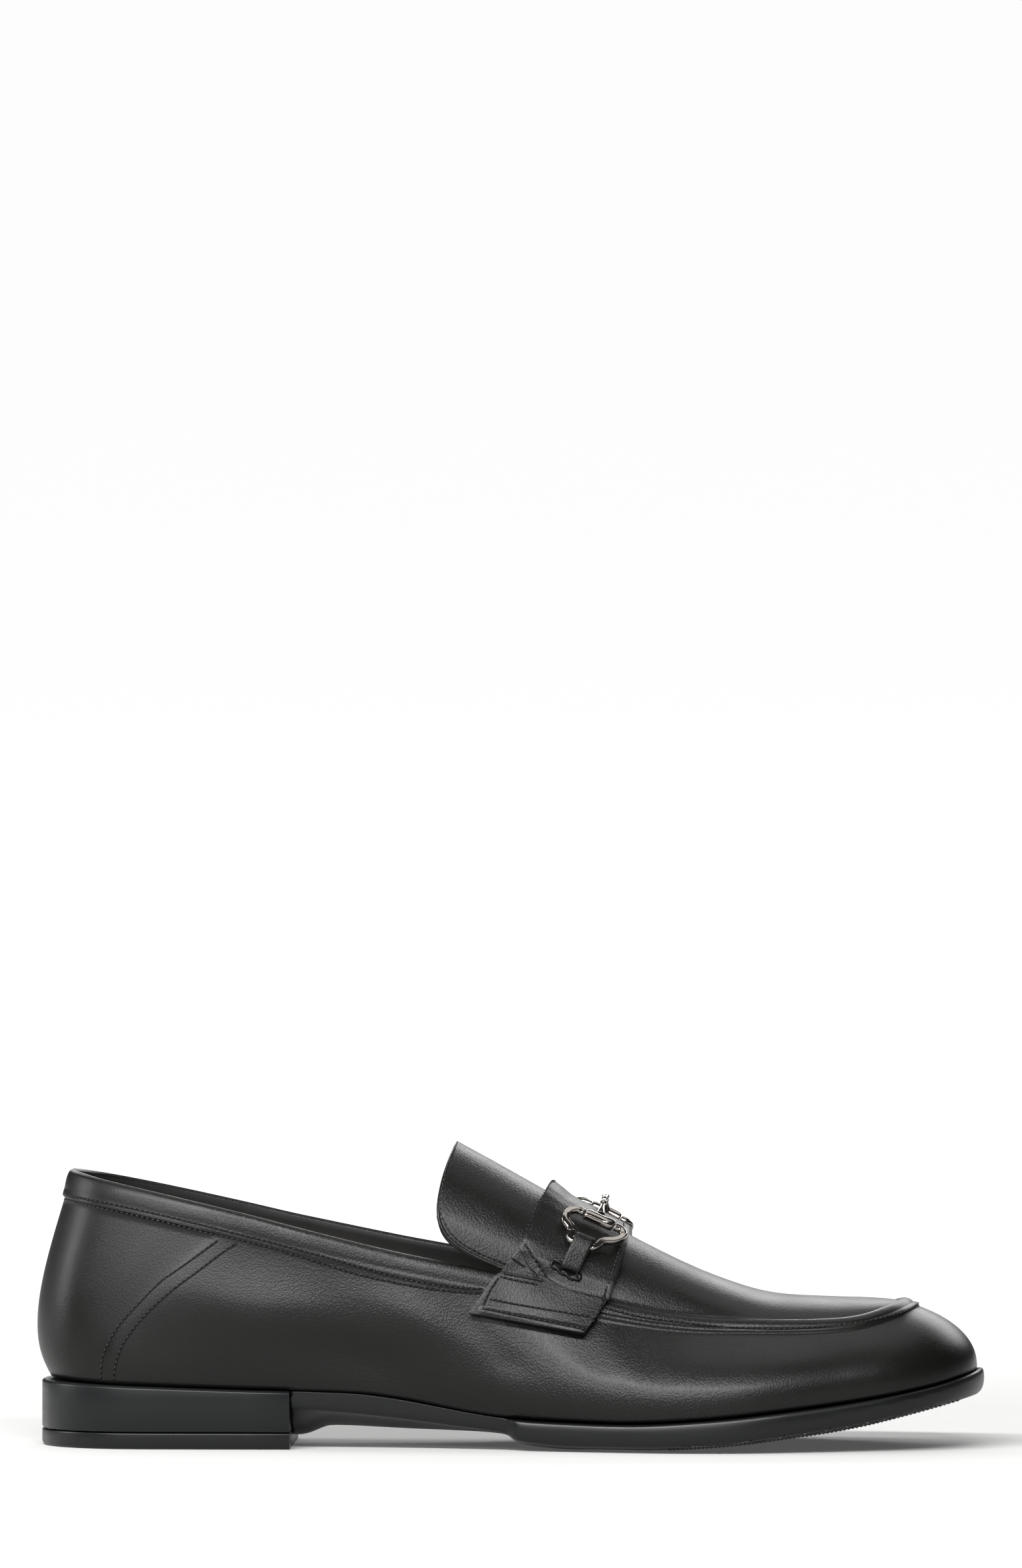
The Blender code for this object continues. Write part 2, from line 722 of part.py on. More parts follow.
def make_upper(material):
    """The upper's outer face, its lining face, and the edges that close them into one wall."""
    lateral = lateral_places()
    places = lateral + [LOOP_LENGTH - place for place in lateral[-2:0:-1]]
    columns = len(places)
    toe = len(lateral) - 1
    throat = lateral.index(float(THROAT_SECTION))
    vertices, faces = [], []

    def add(point):
        vertices.append(point)
        return len(vertices) - 1

    outer, inner = [], []
    for place in places:
        section = section_at(place)
        seam = share_below_rim(place, section.band * BAND_WIDTH)
        raised = section.puff * BEAD_RAISE
        counter = place <= SEAM_SECTION or place >= LOOP_LENGTH - SEAM_SECTION
        column = []
        for k in range(BODY_ROWS):
            point, normal = wall_point(place, seam * k / BODY_ROWS)
            column.append(add(point - normal * (COUNTER_STEP if counter else 0.0)))
        for relief in BAND_RELIEF:
            point, normal = wall_point(place, seam + (1 - seam) * relief.across)
            sunk = COUNTER_STEP if counter and relief.across == 0.0 else 0.0
            column.append(add(point + normal * (relief.raised * raised - sunk)))
        outer.append(column)
        lining = []
        for k in range(LINING_ROWS + 1):
            point, normal = wall_point(place, k / LINING_ROWS)
            lining.append(add(point - normal * UPPER_WALL))
        inner.append(lining)

    for face_set in (outer, inner):
        for i in range(columns):
            here, there = face_set[i], face_set[(i + 1) % columns]
            for k in range(len(here) - 1):
                faces.append((here[k], there[k], there[k + 1], here[k + 1]))
    for i in range(columns):
        after = (i + 1) % columns
        faces.append((outer[i][0], outer[after][0], inner[after][0], inner[i][0]))

    apron_outer, apron_inner = [], []
    for i in range(throat, toe + 1):
        mirror = (columns - i) % columns
        top_row, under_row = [outer[i][-1]], [inner[i][-1]]
        if i < toe:
            for k in range(1, APRON_COLUMNS):
                point, normal = arch_point(places[i], k / APRON_COLUMNS)
                top_row.append(add(point))
                under_row.append(add(point - normal * UPPER_WALL))
            top_row.append(outer[mirror][-1])
            under_row.append(inner[mirror][-1])
        apron_outer.append(top_row)
        apron_inner.append(under_row)
    for rows in (apron_outer, apron_inner):
        for here, there in zip(rows, rows[1:]):
            for k in range(APRON_COLUMNS):
                if len(there) > 1:
                    faces.append((here[k], here[k + 1], there[k + 1], there[k]))
                else:
                    faces.append((here[k], here[k + 1], there[0]))
    for k in range(APRON_COLUMNS):
        faces.append((apron_outer[0][k], apron_outer[0][k + 1], apron_inner[0][k + 1], apron_inner[0][k]))

    first, last = columns - throat, throat + columns
    crest = {}
    for i in range(first + 1, last):
        k = i % columns
        middle = (vertices[outer[k][-1]] + vertices[inner[k][-1]]) / 2
        crest[i] = add(middle + np.array([0.0, 0.0, COLLAR_ROLL]))
    for i in range(first, last):
        a, b = i % columns, (i + 1) % columns
        for face_set in (outer, inner):
            corners = [face_set[a][-1], face_set[b][-1]]
            corners += [crest[j] for j in (i + 1, i) if j in crest]
            faces.append(tuple(corners))
    faces.append((outer[first % columns][-1], inner[first % columns][-1], crest[first + 1]))
    faces.append((outer[last % columns][-1], inner[last % columns][-1], crest[last - 1]))
    return new_object("upper", vertices, faces, material, 30)


def plate(name, rows, material, smooth_angle=40):
    """A closed curved sheet from rows of (outer point, inner point) pairs."""
    height, width = len(rows), len(rows[0])
    vertices = [pair[0] for row in rows for pair in row] + [pair[1] for row in rows for pair in row]
    offset = height * width
    faces = []
    for r in range(height - 1):
        for k in range(width - 1):
            quad = (r * width + k, r * width + k + 1, (r + 1) * width + k + 1, (r + 1) * width + k)
            faces.append(quad)
            faces.append(tuple(offset + v for v in quad))
    border = [(0, k) for k in range(width)] + [(r, width - 1) for r in range(1, height)]
    border += [(height - 1, k) for k in range(width - 2, -1, -1)] + [(r, 0) for r in range(height - 2, 0, -1)]
    for (r, k), (s, m) in zip(border, border[1:] + border[:1]):
        a, b = r * width + k, s * width + m
        faces.append((a, b, offset + b, offset + a))
    return new_object(name, vertices, faces, material, smooth_angle)


def make_tongue(material):
    front = place_of(SECTIONS[THROAT_SECTION].along - GAP / SHOE_LENGTH)
    lateral = [(row.across, row.rear) for row in TONGUE_EDGE]
    edge = lateral + [(1 - across, rear) for across, rear in lateral[-2::-1]]
    rows = []
    for across, rear in edge:
        row = []
        start = place_of(rear)
        for k in range(TONGUE_STATIONS + 1):
            place = start + (front - start) * k / TONGUE_STATIONS
            point, normal = arch_point(place, across)
            row.append((point, point - normal * TONGUE_THICKNESS))
        rows.append(row)
    return plate("tongue", rows, material)


def strap_base(along, across):
    """A point of the skin under the strap and its normal. across is signed, and lateral is negative."""
    place = place_of(along)
    side = place if across < 0 else LOOP_LENGTH - place
    depth = (abs(across) - 1) * TAB_DROP
    if depth <= 0:
        return arch_point(place, (across + 1) / 2)
    return wall_point(side, share_below_rim(side, depth))


def over_strap_base(along, across, height):
    """A point over the strap's inner face, which clears the raised band near the rim and below it."""
    point, normal = strap_base(along, across)
    raised = section_at(place_of(along)).puff * BEAD_RAISE * ramp(*RAISED_ACROSS, abs(across))
    return point + normal * (GAP + raised + height)


def strap_point(forward, across, height):
    """A point over the strap's inner face. forward runs from 0 at its rear edge to 1 at its front edge."""
    rear = smooth_table(STRAP_EDGE, "rear", abs(across))
    front = smooth_table(STRAP_EDGE, "front", abs(across))
    lift = STRAP_LIFT * (1 - ramp(0.0, LIFTED_LENGTH, forward)) * (1 - ramp(*LIFTED_ACROSS, abs(across)))
    return over_strap_base(rear + (front - rear) * forward, across, lift + height)


def notch_cutter(side):
    """A curved wedge that cuts the notch into the strap's upper layer."""
    top, low, tip = (np.array(corner) for corner in (NOTCH_MOUTH_TOP, NOTCH_MOUTH_LOW, NOTCH_TIP))
    rings = []
    for k in range(NOTCH_STEPS + 1):
        share = k / NOTCH_STEPS * 0.995
        ends = [corner * (1 - share) + tip * share for corner in (top, low)]
        ring = []
        for height in (STRAP_THICKNESS - NOTCH_DEPTH, STRAP_THICKNESS + NOTCH_DEPTH):
            line = [strap_point(forward, side * across, height) for across, forward in ends]
            middle = (ends[0] + ends[1]) / 2
            line.insert(1, strap_point(middle[1], side * middle[0], height))
            ring += line if height < STRAP_THICKNESS else line[::-1]
        rings.append(ring)
    cutter = loft("notch_cutter", rings, bpy.data.materials.new("cutter"))
    cutter.hide_render = True
    cutter.display_type = "WIRE"
    return cutter


def make_strap(material):
    rows = []
    for r in range(STRAP_ROWS + 1):
        across = 4 * r / STRAP_ROWS - 2
        row = []
        for k in range(STRAP_STATIONS + 1):
            forward = k / STRAP_STATIONS
            row.append((strap_point(forward, across, STRAP_THICKNESS), strap_point(forward, across, 0.0)))
        rows.append(row)
    strap = plate("strap", rows, material)
    for side in (-1, 1):
        cut = strap.modifiers.new("notch", "BOOLEAN")
        cut.operation = "DIFFERENCE"
        cut.solver = "EXACT"
        cut.object = notch_cutter(side)
    return strap


def bit_share(along, down):
    """The share of SHOE_LENGTH of a place in the ring's directions: along the instep and down its side."""
    leaning = down * math.sin(INSTEP_SLOPE) * SIDE_FORESHORTENING
    return BIT_ALONG + (along * math.cos(INSTEP_SLOPE) - leaning) / SHOE_LENGTH


def bit_point(side, along, down, height):
    """A point over the strap's outer face, from the middle of the ring's place."""
    across = side * (BIT_ACROSS + down / ARCH_REACH)
    return over_strap_base(bit_share(along, down), across, STRAP_THICKNESS + height)


def tube(name, path, radii, material, sides=10):
    """A round bar of changing radius along a path."""
    rings = []
    side_axis = np.array([0.0, 0.0, 1.0])
    for i, (point, radius) in enumerate(zip(path, radii)):
        ahead = unit(path[min(i + 1, len(path) - 1)] - path[max(i - 1, 0)])
        side_axis = unit(side_axis - ahead * side_axis.dot(ahead))
        other = np.cross(ahead, side_axis)
        rings.append(
            [
                point + radius * (math.cos(a) * side_axis + math.sin(a) * other)
                for a in (2 * math.pi * k / sides for k in range(sides))
            ]
        )
    return loft(name, rings, material, 50)


def curve_through(points, steps):
    """Points on a smooth open curve through the given ones."""
    padded = [2 * points[0] - points[1], *points, 2 * points[-1] - points[-2]]
    result = []
    for a, b, c, d in zip(padded, padded[1:], padded[2:], padded[3:]):
        result += [spline(a, b, c, d, k / steps) for k in range(steps)]
    result.append(points[-1])
    return result


def metal_ring(side, along, down, across, width, thickness):
    """A rounded section of the bit's metal. across is the direction of its width, along and down the side."""
    section = []
    for corner in METAL_SECTION:
        shift = across * corner.across * width
        height = BIT_MIDDLE + thickness * (corner.up - 0.5)
        section.append(bit_point(side, along + shift[0], down + shift[1], height))
    return section


def make_ring(name, side, material):
    """The open ring: a flat rounded band that swings out in two lobes and in again to its lower bar."""
    half = RING_LENGTH / 2
    flat = [np.array([row.along, row.down]) * half for row in RING_HALF]
    flat += [np.array([-row.along, row.down]) * half for row in RING_HALF[-2::-1]]
    path = curve_through(flat, 2)
    rings = []
    for i, (along, down) in enumerate(path):
        ahead = unit(path[min(i + 1, len(path) - 1)] - path[max(i - 1, 0)])
        across = np.array([-ahead[1], ahead[0]])
        rings.append(metal_ring(side, along, down, across, RING_BAND, RING_THICKNESS))
    return loft(name, rings, material, 50)


def make_bar(name, side, material):
    """The rounded bar that closes the ring towards the instep."""
    middle = RING_HALF[0].down * RING_LENGTH / 2
    rings = []
    for row in BAR_RINGS:
        across = np.array([0.0, row.grow])
        rings.append(metal_ring(side, row.along * BAR_LENGTH, middle, across, BAR_WIDTH, BAR_HEIGHT * row.grow))
    return loft(name, rings, material, 30)


def make_link(material):
    """The turned link from one bar over the instep to the other."""
    bar_middle = RING_HALF[0].down * RING_LENGTH / 2
    share = bit_share(0.0, bar_middle)
    start = BIT_ACROSS + (bar_middle - BAR_WIDTH / 2 - 2 * GAP) / ARCH_REACH
    outline = list(LINK_OUTLINE) + [Turned(2 - row.place, row.radius) for row in LINK_OUTLINE[-2::-1]]
    path = []
    for row in outline:
        rise = LINK_RISE * math.sin(math.pi / 2 * row.place)
        height = STRAP_THICKNESS + BIT_MIDDLE + rise
        path.append(over_strap_base(share, start * (row.place - 1), height))
    return tube("bit_link", path, [row.radius * LINK_RADIUS for row in outline], material)


def keeper_path():
    """The middle of the keeper's leather: out of the slot, under the ring's lower bar, over it and back."""
    bar_down = RING_HALF[-1].down * RING_LENGTH / 2
    low = GAP + KEEPER_THICKNESS / 2
    radius = KEEPER_BORE + KEEPER_THICKNESS / 2
    path = [(bar_down + KEEPER_REACH, low), (bar_down + KEEPER_REACH / 2, low)]
    for k in range(KEEPER_TURN_STEPS + 1):
        angle = math.pi * (1.5 - k / KEEPER_TURN_STEPS)
        path.append((bar_down + radius * math.cos(angle), BIT_MIDDLE + radius * math.sin(angle)))
    path.append((bar_down + KEEPER_REACH / 2, low + GAP + KEEPER_THICKNESS * (1 + KEEPER_SLACK)))
    path.append((bar_down + KEEPER_REACH, low + GAP + KEEPER_THICKNESS))
    return path


def make_keeper(name, side, material):
    """The leather loop that ties the ring's lower bar down to the strap."""
    path = keeper_path()
    rings = []
    for i, (down, height) in enumerate(path):
        before, after = path[max(i - 1, 0)], path[min(i + 1, len(path) - 1)]
        ahead = unit(np.array([after[0] - before[0], after[1] - before[1]]))
        away_down, away_up = np.array([-ahead[1], ahead[0]]) * KEEPER_THICKNESS / 2
        rings.append(
            [
                bit_point(side, along * KEEPER_WIDTH, down + face * away_down, height + face * away_up)
                for along, face in KEEPER_EDGE
            ]
        )
    return loft(name, rings, material)


def new_material(name, colour, roughness, metallic=0.0):
    material = bpy.data.materials.new(name)
    material.use_nodes = True
    shader = material.node_tree.nodes["Principled BSDF"]
    shader.inputs["Base Color"].default_value = (*colour, 1.0)
    shader.inputs["Roughness"].default_value = roughness
    shader.inputs["Metallic"].default_value = metallic
    return material


def centre_on_floor(pieces):
    """Moves the whole shoe so that its box is centred on the origin and stands on the floor."""
    corners = np.array([v.co[:] for piece in pieces for v in piece.data.vertices])
    low, high = corners.min(axis=0), corners.max(axis=0)
    shift = Matrix.Translation((-(low[0] + high[0]) / 2, -(low[1] + high[1]) / 2, -low[2]))
    for piece in pieces:
        piece.data.transform(shift)
    for cutter in (piece for piece in bpy.data.objects if piece.hide_render):
        cutter.data.transform(shift)


def main():
    for old in list(bpy.data.objects):
        bpy.data.objects.remove(old)
    calf = new_material("black_calf", (0.012, 0.012, 0.011), 0.38)
    rubber = new_material("black_rubber", (0.018, 0.020, 0.020), 0.5)
    heel_lacquer = new_material("black_heel_lacquer", (0.014, 0.016, 0.017), 0.35)
    lining = new_material("dark_lining", (0.02, 0.017, 0.01), 0.7)
    gunmetal = new_material("gunmetal", (0.30, 0.29, 0.28), 0.15, 1.0)
    make_outsole(rubber)
    make_heel(heel_lacquer, rubber)
    make_insole(lining)
    make_upper(calf)
    make_tongue(calf)
    make_strap(calf)
    for side_name, side in (("lateral", -1), ("medial", 1)):
        make_ring("bit_ring_" + side_name, side, gunmetal)
        make_bar("bit_bar_" + side_name, side, gunmetal)
        make_keeper("keeper_" + side_name, side, calf)
    make_link(gunmetal)
    centre_on_floor([piece for piece in bpy.data.objects if not piece.hide_render])


main()
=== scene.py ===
"""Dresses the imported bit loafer: calf, stitching, polished bit, sole and heel, and a pale studio.

It is laid out as an add-on, with one operator for each group of pieces, and it is run as a script.
"""

import math
from typing import NamedTuple

import bmesh
import bpy
import numpy as np
from bpy.props import FloatProperty, FloatVectorProperty, PointerProperty
from mathutils import Matrix, Vector
from mathutils.bvhtree import BVHTree


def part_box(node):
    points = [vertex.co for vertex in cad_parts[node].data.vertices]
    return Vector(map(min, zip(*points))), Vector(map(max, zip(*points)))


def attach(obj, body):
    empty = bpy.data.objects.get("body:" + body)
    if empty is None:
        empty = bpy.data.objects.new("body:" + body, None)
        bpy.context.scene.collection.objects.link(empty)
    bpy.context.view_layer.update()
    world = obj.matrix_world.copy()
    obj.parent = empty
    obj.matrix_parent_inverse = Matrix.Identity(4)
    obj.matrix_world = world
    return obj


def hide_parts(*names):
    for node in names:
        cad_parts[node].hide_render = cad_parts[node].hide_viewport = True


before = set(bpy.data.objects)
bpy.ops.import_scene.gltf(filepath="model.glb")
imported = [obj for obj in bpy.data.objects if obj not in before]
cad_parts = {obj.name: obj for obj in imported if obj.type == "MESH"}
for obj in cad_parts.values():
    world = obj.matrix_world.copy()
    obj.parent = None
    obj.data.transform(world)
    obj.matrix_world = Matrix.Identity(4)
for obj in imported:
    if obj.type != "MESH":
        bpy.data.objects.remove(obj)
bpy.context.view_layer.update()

bl_info = {
    "name": "Bit loafer",
    "version": (1, 0, 0),
    "blender": (4, 5, 0),
    "location": "3D view > Sidebar > Loafer",
    "description": "Calf skins, stitching, bit, sole and studio for the bit loafer",
    "category": "Add Mesh",
}

MM = 0.001

# The photograph: its size, the real size of a pixel, the view and the pixel of the frame's origin
PHOTO_WIDTH = 1552
PHOTO_HEIGHT = 2380
PIXEL = 0.2076 * MM
AZIMUTH = math.radians(2.5)
ELEVATION = math.radians(3.3)
ORIGIN_PIXEL = (775.08, 2192.98)
VIEW_RIGHT = Vector((math.cos(AZIMUTH), math.sin(AZIMUTH), 0.0))
VIEW_AHEAD = Vector(
    (
        -math.sin(AZIMUTH) * math.cos(ELEVATION),
        math.cos(AZIMUTH) * math.cos(ELEVATION),
        -math.sin(ELEVATION),
    )
)
VIEW_UP = VIEW_RIGHT.cross(VIEW_AHEAD)

# Seams on the lateral side, as pixels of the photograph
COUNTER_ROW_REAR = (
    (153, 2094), (156, 2060), (165, 2038), (180, 2013),
    (200, 1990), (240, 1949), (280, 1920), (334, 1881),
)
COUNTER_ROW_FRONT = (
    (173, 2096), (176, 2070), (190, 2035), (222, 1995),
    (260, 1960), (300, 1930), (340, 1900), (362, 1886),
)
COLLAR_ROW_UPPER = (
    (92, 1812), (130, 1820), (180, 1830), (260, 1848), (340, 1868), (400, 1883),
    (460, 1899), (500, 1910), (560, 1927), (620, 1943), (680, 1953), (735, 1957),
)
COLLAR_ROW_LOWER = (
    (92, 1819), (130, 1828), (200, 1843), (260, 1857), (340, 1877), (400, 1891),
    (460, 1909), (540, 1934), (620, 1951), (680, 1960), (732, 1964),
)
BEAD_ROW = (
    (905, 1981), (940, 1991), (980, 2000), (1040, 2008), (1100, 2014), (1160, 2017),
    (1220, 2016), (1280, 2011), (1320, 2005), (1360, 1995), (1382, 1987), (1394, 1979),
)
TAB_ROW_UPPER = ((744, 1972), (790, 1981), (850, 1991), (898, 1999))
TAB_ROW_LOWER = ((733, 1986), (780, 1996), (840, 2008), (890, 2018))
TAB_ROW_REAR = ((757, 1940), (744, 1960), (733, 1984))
NOTCH_ROW = ((797, 1888), (812, 1911), (832, 1941))
NOTCH_LIP = ((757, 1931), (790, 1937), (825, 1944))
NOTCH_LIP_ROW = ((760, 1938), (790, 1945), (818, 1950))
NOTCH_SLIT = ((769, 1904), (783, 1914), (800, 1926))
SLOT_LOOP = ((840, 1913), (858, 1920), (878, 1934), (876, 1942), (858, 1934), (839, 1921))
SLOT_SLIT = ((843, 1917), (858, 1927), (874, 1938))

# Where the notch's cut edge lies on the solid, how far the photograph has it from there, how far round
# it a move is felt, and the least move that counts, all in pixels
NOTCH_NUDGES = (
    ((778, 1896), (9, -4)),
    ((783, 1922), (15, -12)),
    ((802, 1943), (9, -14)),
    ((829, 1957), (-7, -14)),
)
NUDGE_REACH = 20.0
LEAST_NUDGE = 0.05

# The padded roll along each tab of the strap: its line in pixels, its width and height, and how far
# from the shoe's middle a tab begins
TAB_ROLL = ((742, 1980), (892, 2008))
TAB_ROLL_WIDTH = 2.6 * MM
TAB_ROLL_HEIGHT = 0.45 * MM
TABS_OUTWARD_OF = 20 * MM

# Rays find places on the leather: from before the lateral side, from beside the medial side, and
# from all round a line through the middle of the shoe, where a hit too near the line is another part
RAY_START_BEFORE = 0.5
RAY_START_BESIDE = 0.2
RAY_START_ROUND = 0.1
SHOE_MIDDLE = 45 * MM
LEAST_RADIUS = 12 * MM

# The topline is read from the upper at stations along the shoe, from points near each of them
TOPLINE_REAR = -0.14
TOPLINE_STATIONS = 29
STATION_REACH = 8 * MM
MIDDLE_GAP = 4 * MM

# An edge is found by halving a span, and its row by walking inward in small steps
EDGE_HALVINGS = 18
EDGE_EVENING = 6
ROW_EVENING = 12
WALK_STEP = 0.15 * MM
WALK_STEPS = 60

# Forward of the throat the upper's inside is all lining, and behind it the facing turns to lining over
# a share of its height. A face that looks at a wall farther off than FAR_WALL is an inner one
THROAT_END = 10 * MM
FAR_WALL = 15 * MM
FACING_BORDER = 0.25

# Stitches, seams and cords: how deep thread lies in the leather, how far its ends dip, and the
# fineness of the strips and cords
THREAD_SINK = 0.12
THREAD_DIP = 0.35
# The seam strips are painted shade: dark strips under the rows of stitches.
SEAM_STEP = 1.0 * MM
SEAM_WIDTH = 0.75 * MM
SEAM_LIFT = 0.03 * MM
SEAM_SIDE_SHARE = 0.2
CORD_STEP = 0.22 * MM
CORD_SIDES = 12
PLY_TURN = 0.42

# The tongue: the angles of its row, offsets from its rear end to a place on it and one off it, what
# tells its back from its front, and its piping
TONGUE_ANGLES = (-87, 87, 150)
TONGUE_SPAN = (21 * MM, -10 * MM)
TONGUE_CORE_HEIGHT = 30 * MM
TONGUE_BACK_SHARE = 0.3
PIPING_MARGIN = 0.45 * MM
PIPING_RADIUS = 0.62 * MM
PIPING_SINK = 0.15 * MM

# The strap: the angles of its front and rear rows, and what lies round its notch and slots
STRAP_ROUNDING = 0.35 * MM
STRAP_CORE_HEIGHT = 35 * MM
STRAP_MIDDLE_SHARE = 0.66
STRAP_FRONT_ANGLES = (-98, 98, 130)
STRAP_REAR_ANGLES = (-50, 50, 80)
STRAP_FRONT_START = 4 * MM
BEYOND_EDGE = 10 * MM
LIP_RADIUS = 0.5 * MM
LIP_LIFT = 0.1 * MM
# The slits are drawn as dark strips of painted shade, this wide and this far off the leather.
NOTCH_SLIT_WIDTH = 0.8 * MM
NOTCH_SLIT_LIFT = 0.06 * MM
SLOT_SLIT_WIDTH = 1.6 * MM
SLOT_SLIT_LIFT = 0.08 * MM

# The heel's edges and the tread's ribs, which lie where the sole faces down and is off the floor
HEEL_ROUNDING = 0.4 * MM
CRISP_ANGLE = 35.0
TREAD_REAR = 52 * MM
TREAD_FRONT = 143 * MM
TREAD_HALF_WIDTH = 56 * MM
TREAD_STEPS = 57
FACES_DOWN = -0.55
FLOOR_ROOM = 0.1 * MM
RIB_HALF_SHARE = 0.42
BELOW_FLOOR = 20 * MM


class Trough(NamedTuple):
    """A soft fold in the upper's side: its line in the side view and its width, in millimetres, its depth
    as a multiple of the fold depth, below 0 for a swelling, and its share on each side of the shoe."""

    start: tuple
    end: tuple
    width: float
    depth: float
    lateral: float
    medial: float


TROUGHS = (
    Trough((-66, 36), (-26, 22), 8.0, 2.0, 1.0, 0.7),
    Trough((-98, 48), (-50, 38), 9.0, -1.9, 1.0, 0.8),
    Trough((-45, 47), (-5, 35), 7.0, -1.1, 1.0, 0.6),
    Trough((-22, 46), (2, 30), 5.0, 1.0, 1.0, 0.8),
    Trough((-8, 30), (12, 24), 4.5, 0.5, 1.0, 0.8),
    Trough((22, 34), (34, 25), 5.0, 0.45, 1.0, 1.0),
    Trough((40, 33), (50, 24), 4.0, 0.30, 1.0, 1.0),
    Trough((-120, 40), (-104, 30), 9.0, 0.5, 1.0, 1.0),
)
FOLD_END = 0.12

# Scales of the patterns in the materials. For all but the thread's waves, which are finer, that is
# about the repeats in a metre
CALF_PATCHES = 38.0
LINING_CLOUDS = 60.0
LINING_GRAIN = 1800.0
THREAD_PLIES = 900.0
RUBBER_FLOW = (25.0, 25.0, 160.0)
RUBBER_GRAIN = 2500.0
HEEL_LAYERS = (12.0, 12.0, 320.0)
POLISHING_WAVES = 260.0

# The colour sockets of a Mix node
MIX_A = 6
MIX_B = 7
MIX_RESULT = 2


def linear(code):
    """Turns an sRGB hex colour to linear red, green and blue."""
    values = [int(code[i : i + 2], 16) / 255 for i in (1, 3, 5)]
    return [v / 12.92 if v <= 0.04045 else ((v + 0.055) / 1.055) ** 2.4 for v in values]


def colour_setting(name, description, code):
    return FloatVectorProperty(
        name=name, description=description, default=linear(code), subtype="COLOR", size=3, min=0.0, max=1.0
    )


def length_setting(name, description, default):
    return FloatProperty(name=name, description=description, default=default, unit="LENGTH", min=0.0)


class LoaferSizes(bpy.types.PropertyGroup):
    """Sizes of the finish, in metres."""

    stitch_pitch: length_setting("Stitch pitch", "From one stitch to the next", 1.75 * MM)
    stitch_length: length_setting("Stitch length", "Visible length of a stitch", 1.25 * MM)
    thread: length_setting("Thread", "Diameter of the thread", 0.52 * MM)
    edge_margin: length_setting("Edge margin", "From an edge to its row of stitches", 1.9 * MM)
    grain: length_setting("Grain", "Width of a pebble of the calf's grain", 0.72 * MM)
    fold_depth: length_setting("Fold depth", "Depth of a fold whose depth is 1", 1.0 * MM)
    facing: length_setting("Facing", "Height of the calf facing inside the collar", 5.0 * MM)
    tread_pitch: length_setting("Tread pitch", "From one rib of the tread to the next", 1.3 * MM)
    tread_height: length_setting("Tread height", "Height of a rib of the tread", 0.32 * MM)
    slot_cord: length_setting("Slot cord", "Radius of the braided cord round the keeper's slot", 0.72 * MM)


class LoaferColours(bpy.types.PropertyGroup):
    """Colours of the finish."""

    calf: colour_setting("Calf", "Dyed calf", "#0c0c0b")
    thread: colour_setting("Thread", "Waxed thread", "#161615")
    # The seam colour is painted shade: the dark strip under the stitches stands in for the shadow of a
    # pressed channel.
    seam: colour_setting("Seam", "Pressed channel under the stitches", "#050505")
    lining: colour_setting("Lining", "Lining leather", "#17150e")
    rubber: colour_setting("Rubber", "Sole rubber", "#0e0f0f")
    heel: colour_setting("Heel", "Waxed heel edge", "#0c0e0f")
    gunmetal: colour_setting("Gunmetal", "Polished gunmetal plating", "#8d8883")
    floor: colour_setting("Floor", "Studio floor", "#c0c0bf")


def sizes():
    return bpy.context.scene.loafer_sizes


def colours():
    return bpy.context.scene.loafer_colours


def add_node(tree, kind, settings=None, links=None):
    """Adds a node. settings are inputs or attributes by name, and links are inputs by name."""
    node = tree.nodes.new(kind)
    for name, value in (settings or {}).items():
        if isinstance(name, int) or name in node.inputs:
            node.inputs[name].default_value = value
        else:
            setattr(node, name, value)
    for name, source in (links or {}).items():
        tree.links.new(source, node.inputs[name])
    return node


def new_material(name, colour, roughness, metallic=0.0, coat=0.0, coat_roughness=0.2, specular=0.35):
    """A Principled material, returned with its tree, its shader and its Object coordinates."""
    surface = bpy.data.materials.new(name)
    surface.use_nodes = True
    tree = surface.node_tree
    shader = tree.nodes["Principled BSDF"]
    shader.inputs["Base Color"].default_value = (*colour, 1.0)
    shader.inputs["Roughness"].default_value = roughness
    shader.inputs["Metallic"].default_value = metallic
    shader.inputs["Specular IOR Level"].default_value = specular
    shader.inputs["Coat Weight"].default_value = coat
    shader.inputs["Coat Roughness"].default_value = coat_roughness
    place = add_node(tree, "ShaderNodeTexCoord").outputs["Object"]
    return surface, tree, shader, place


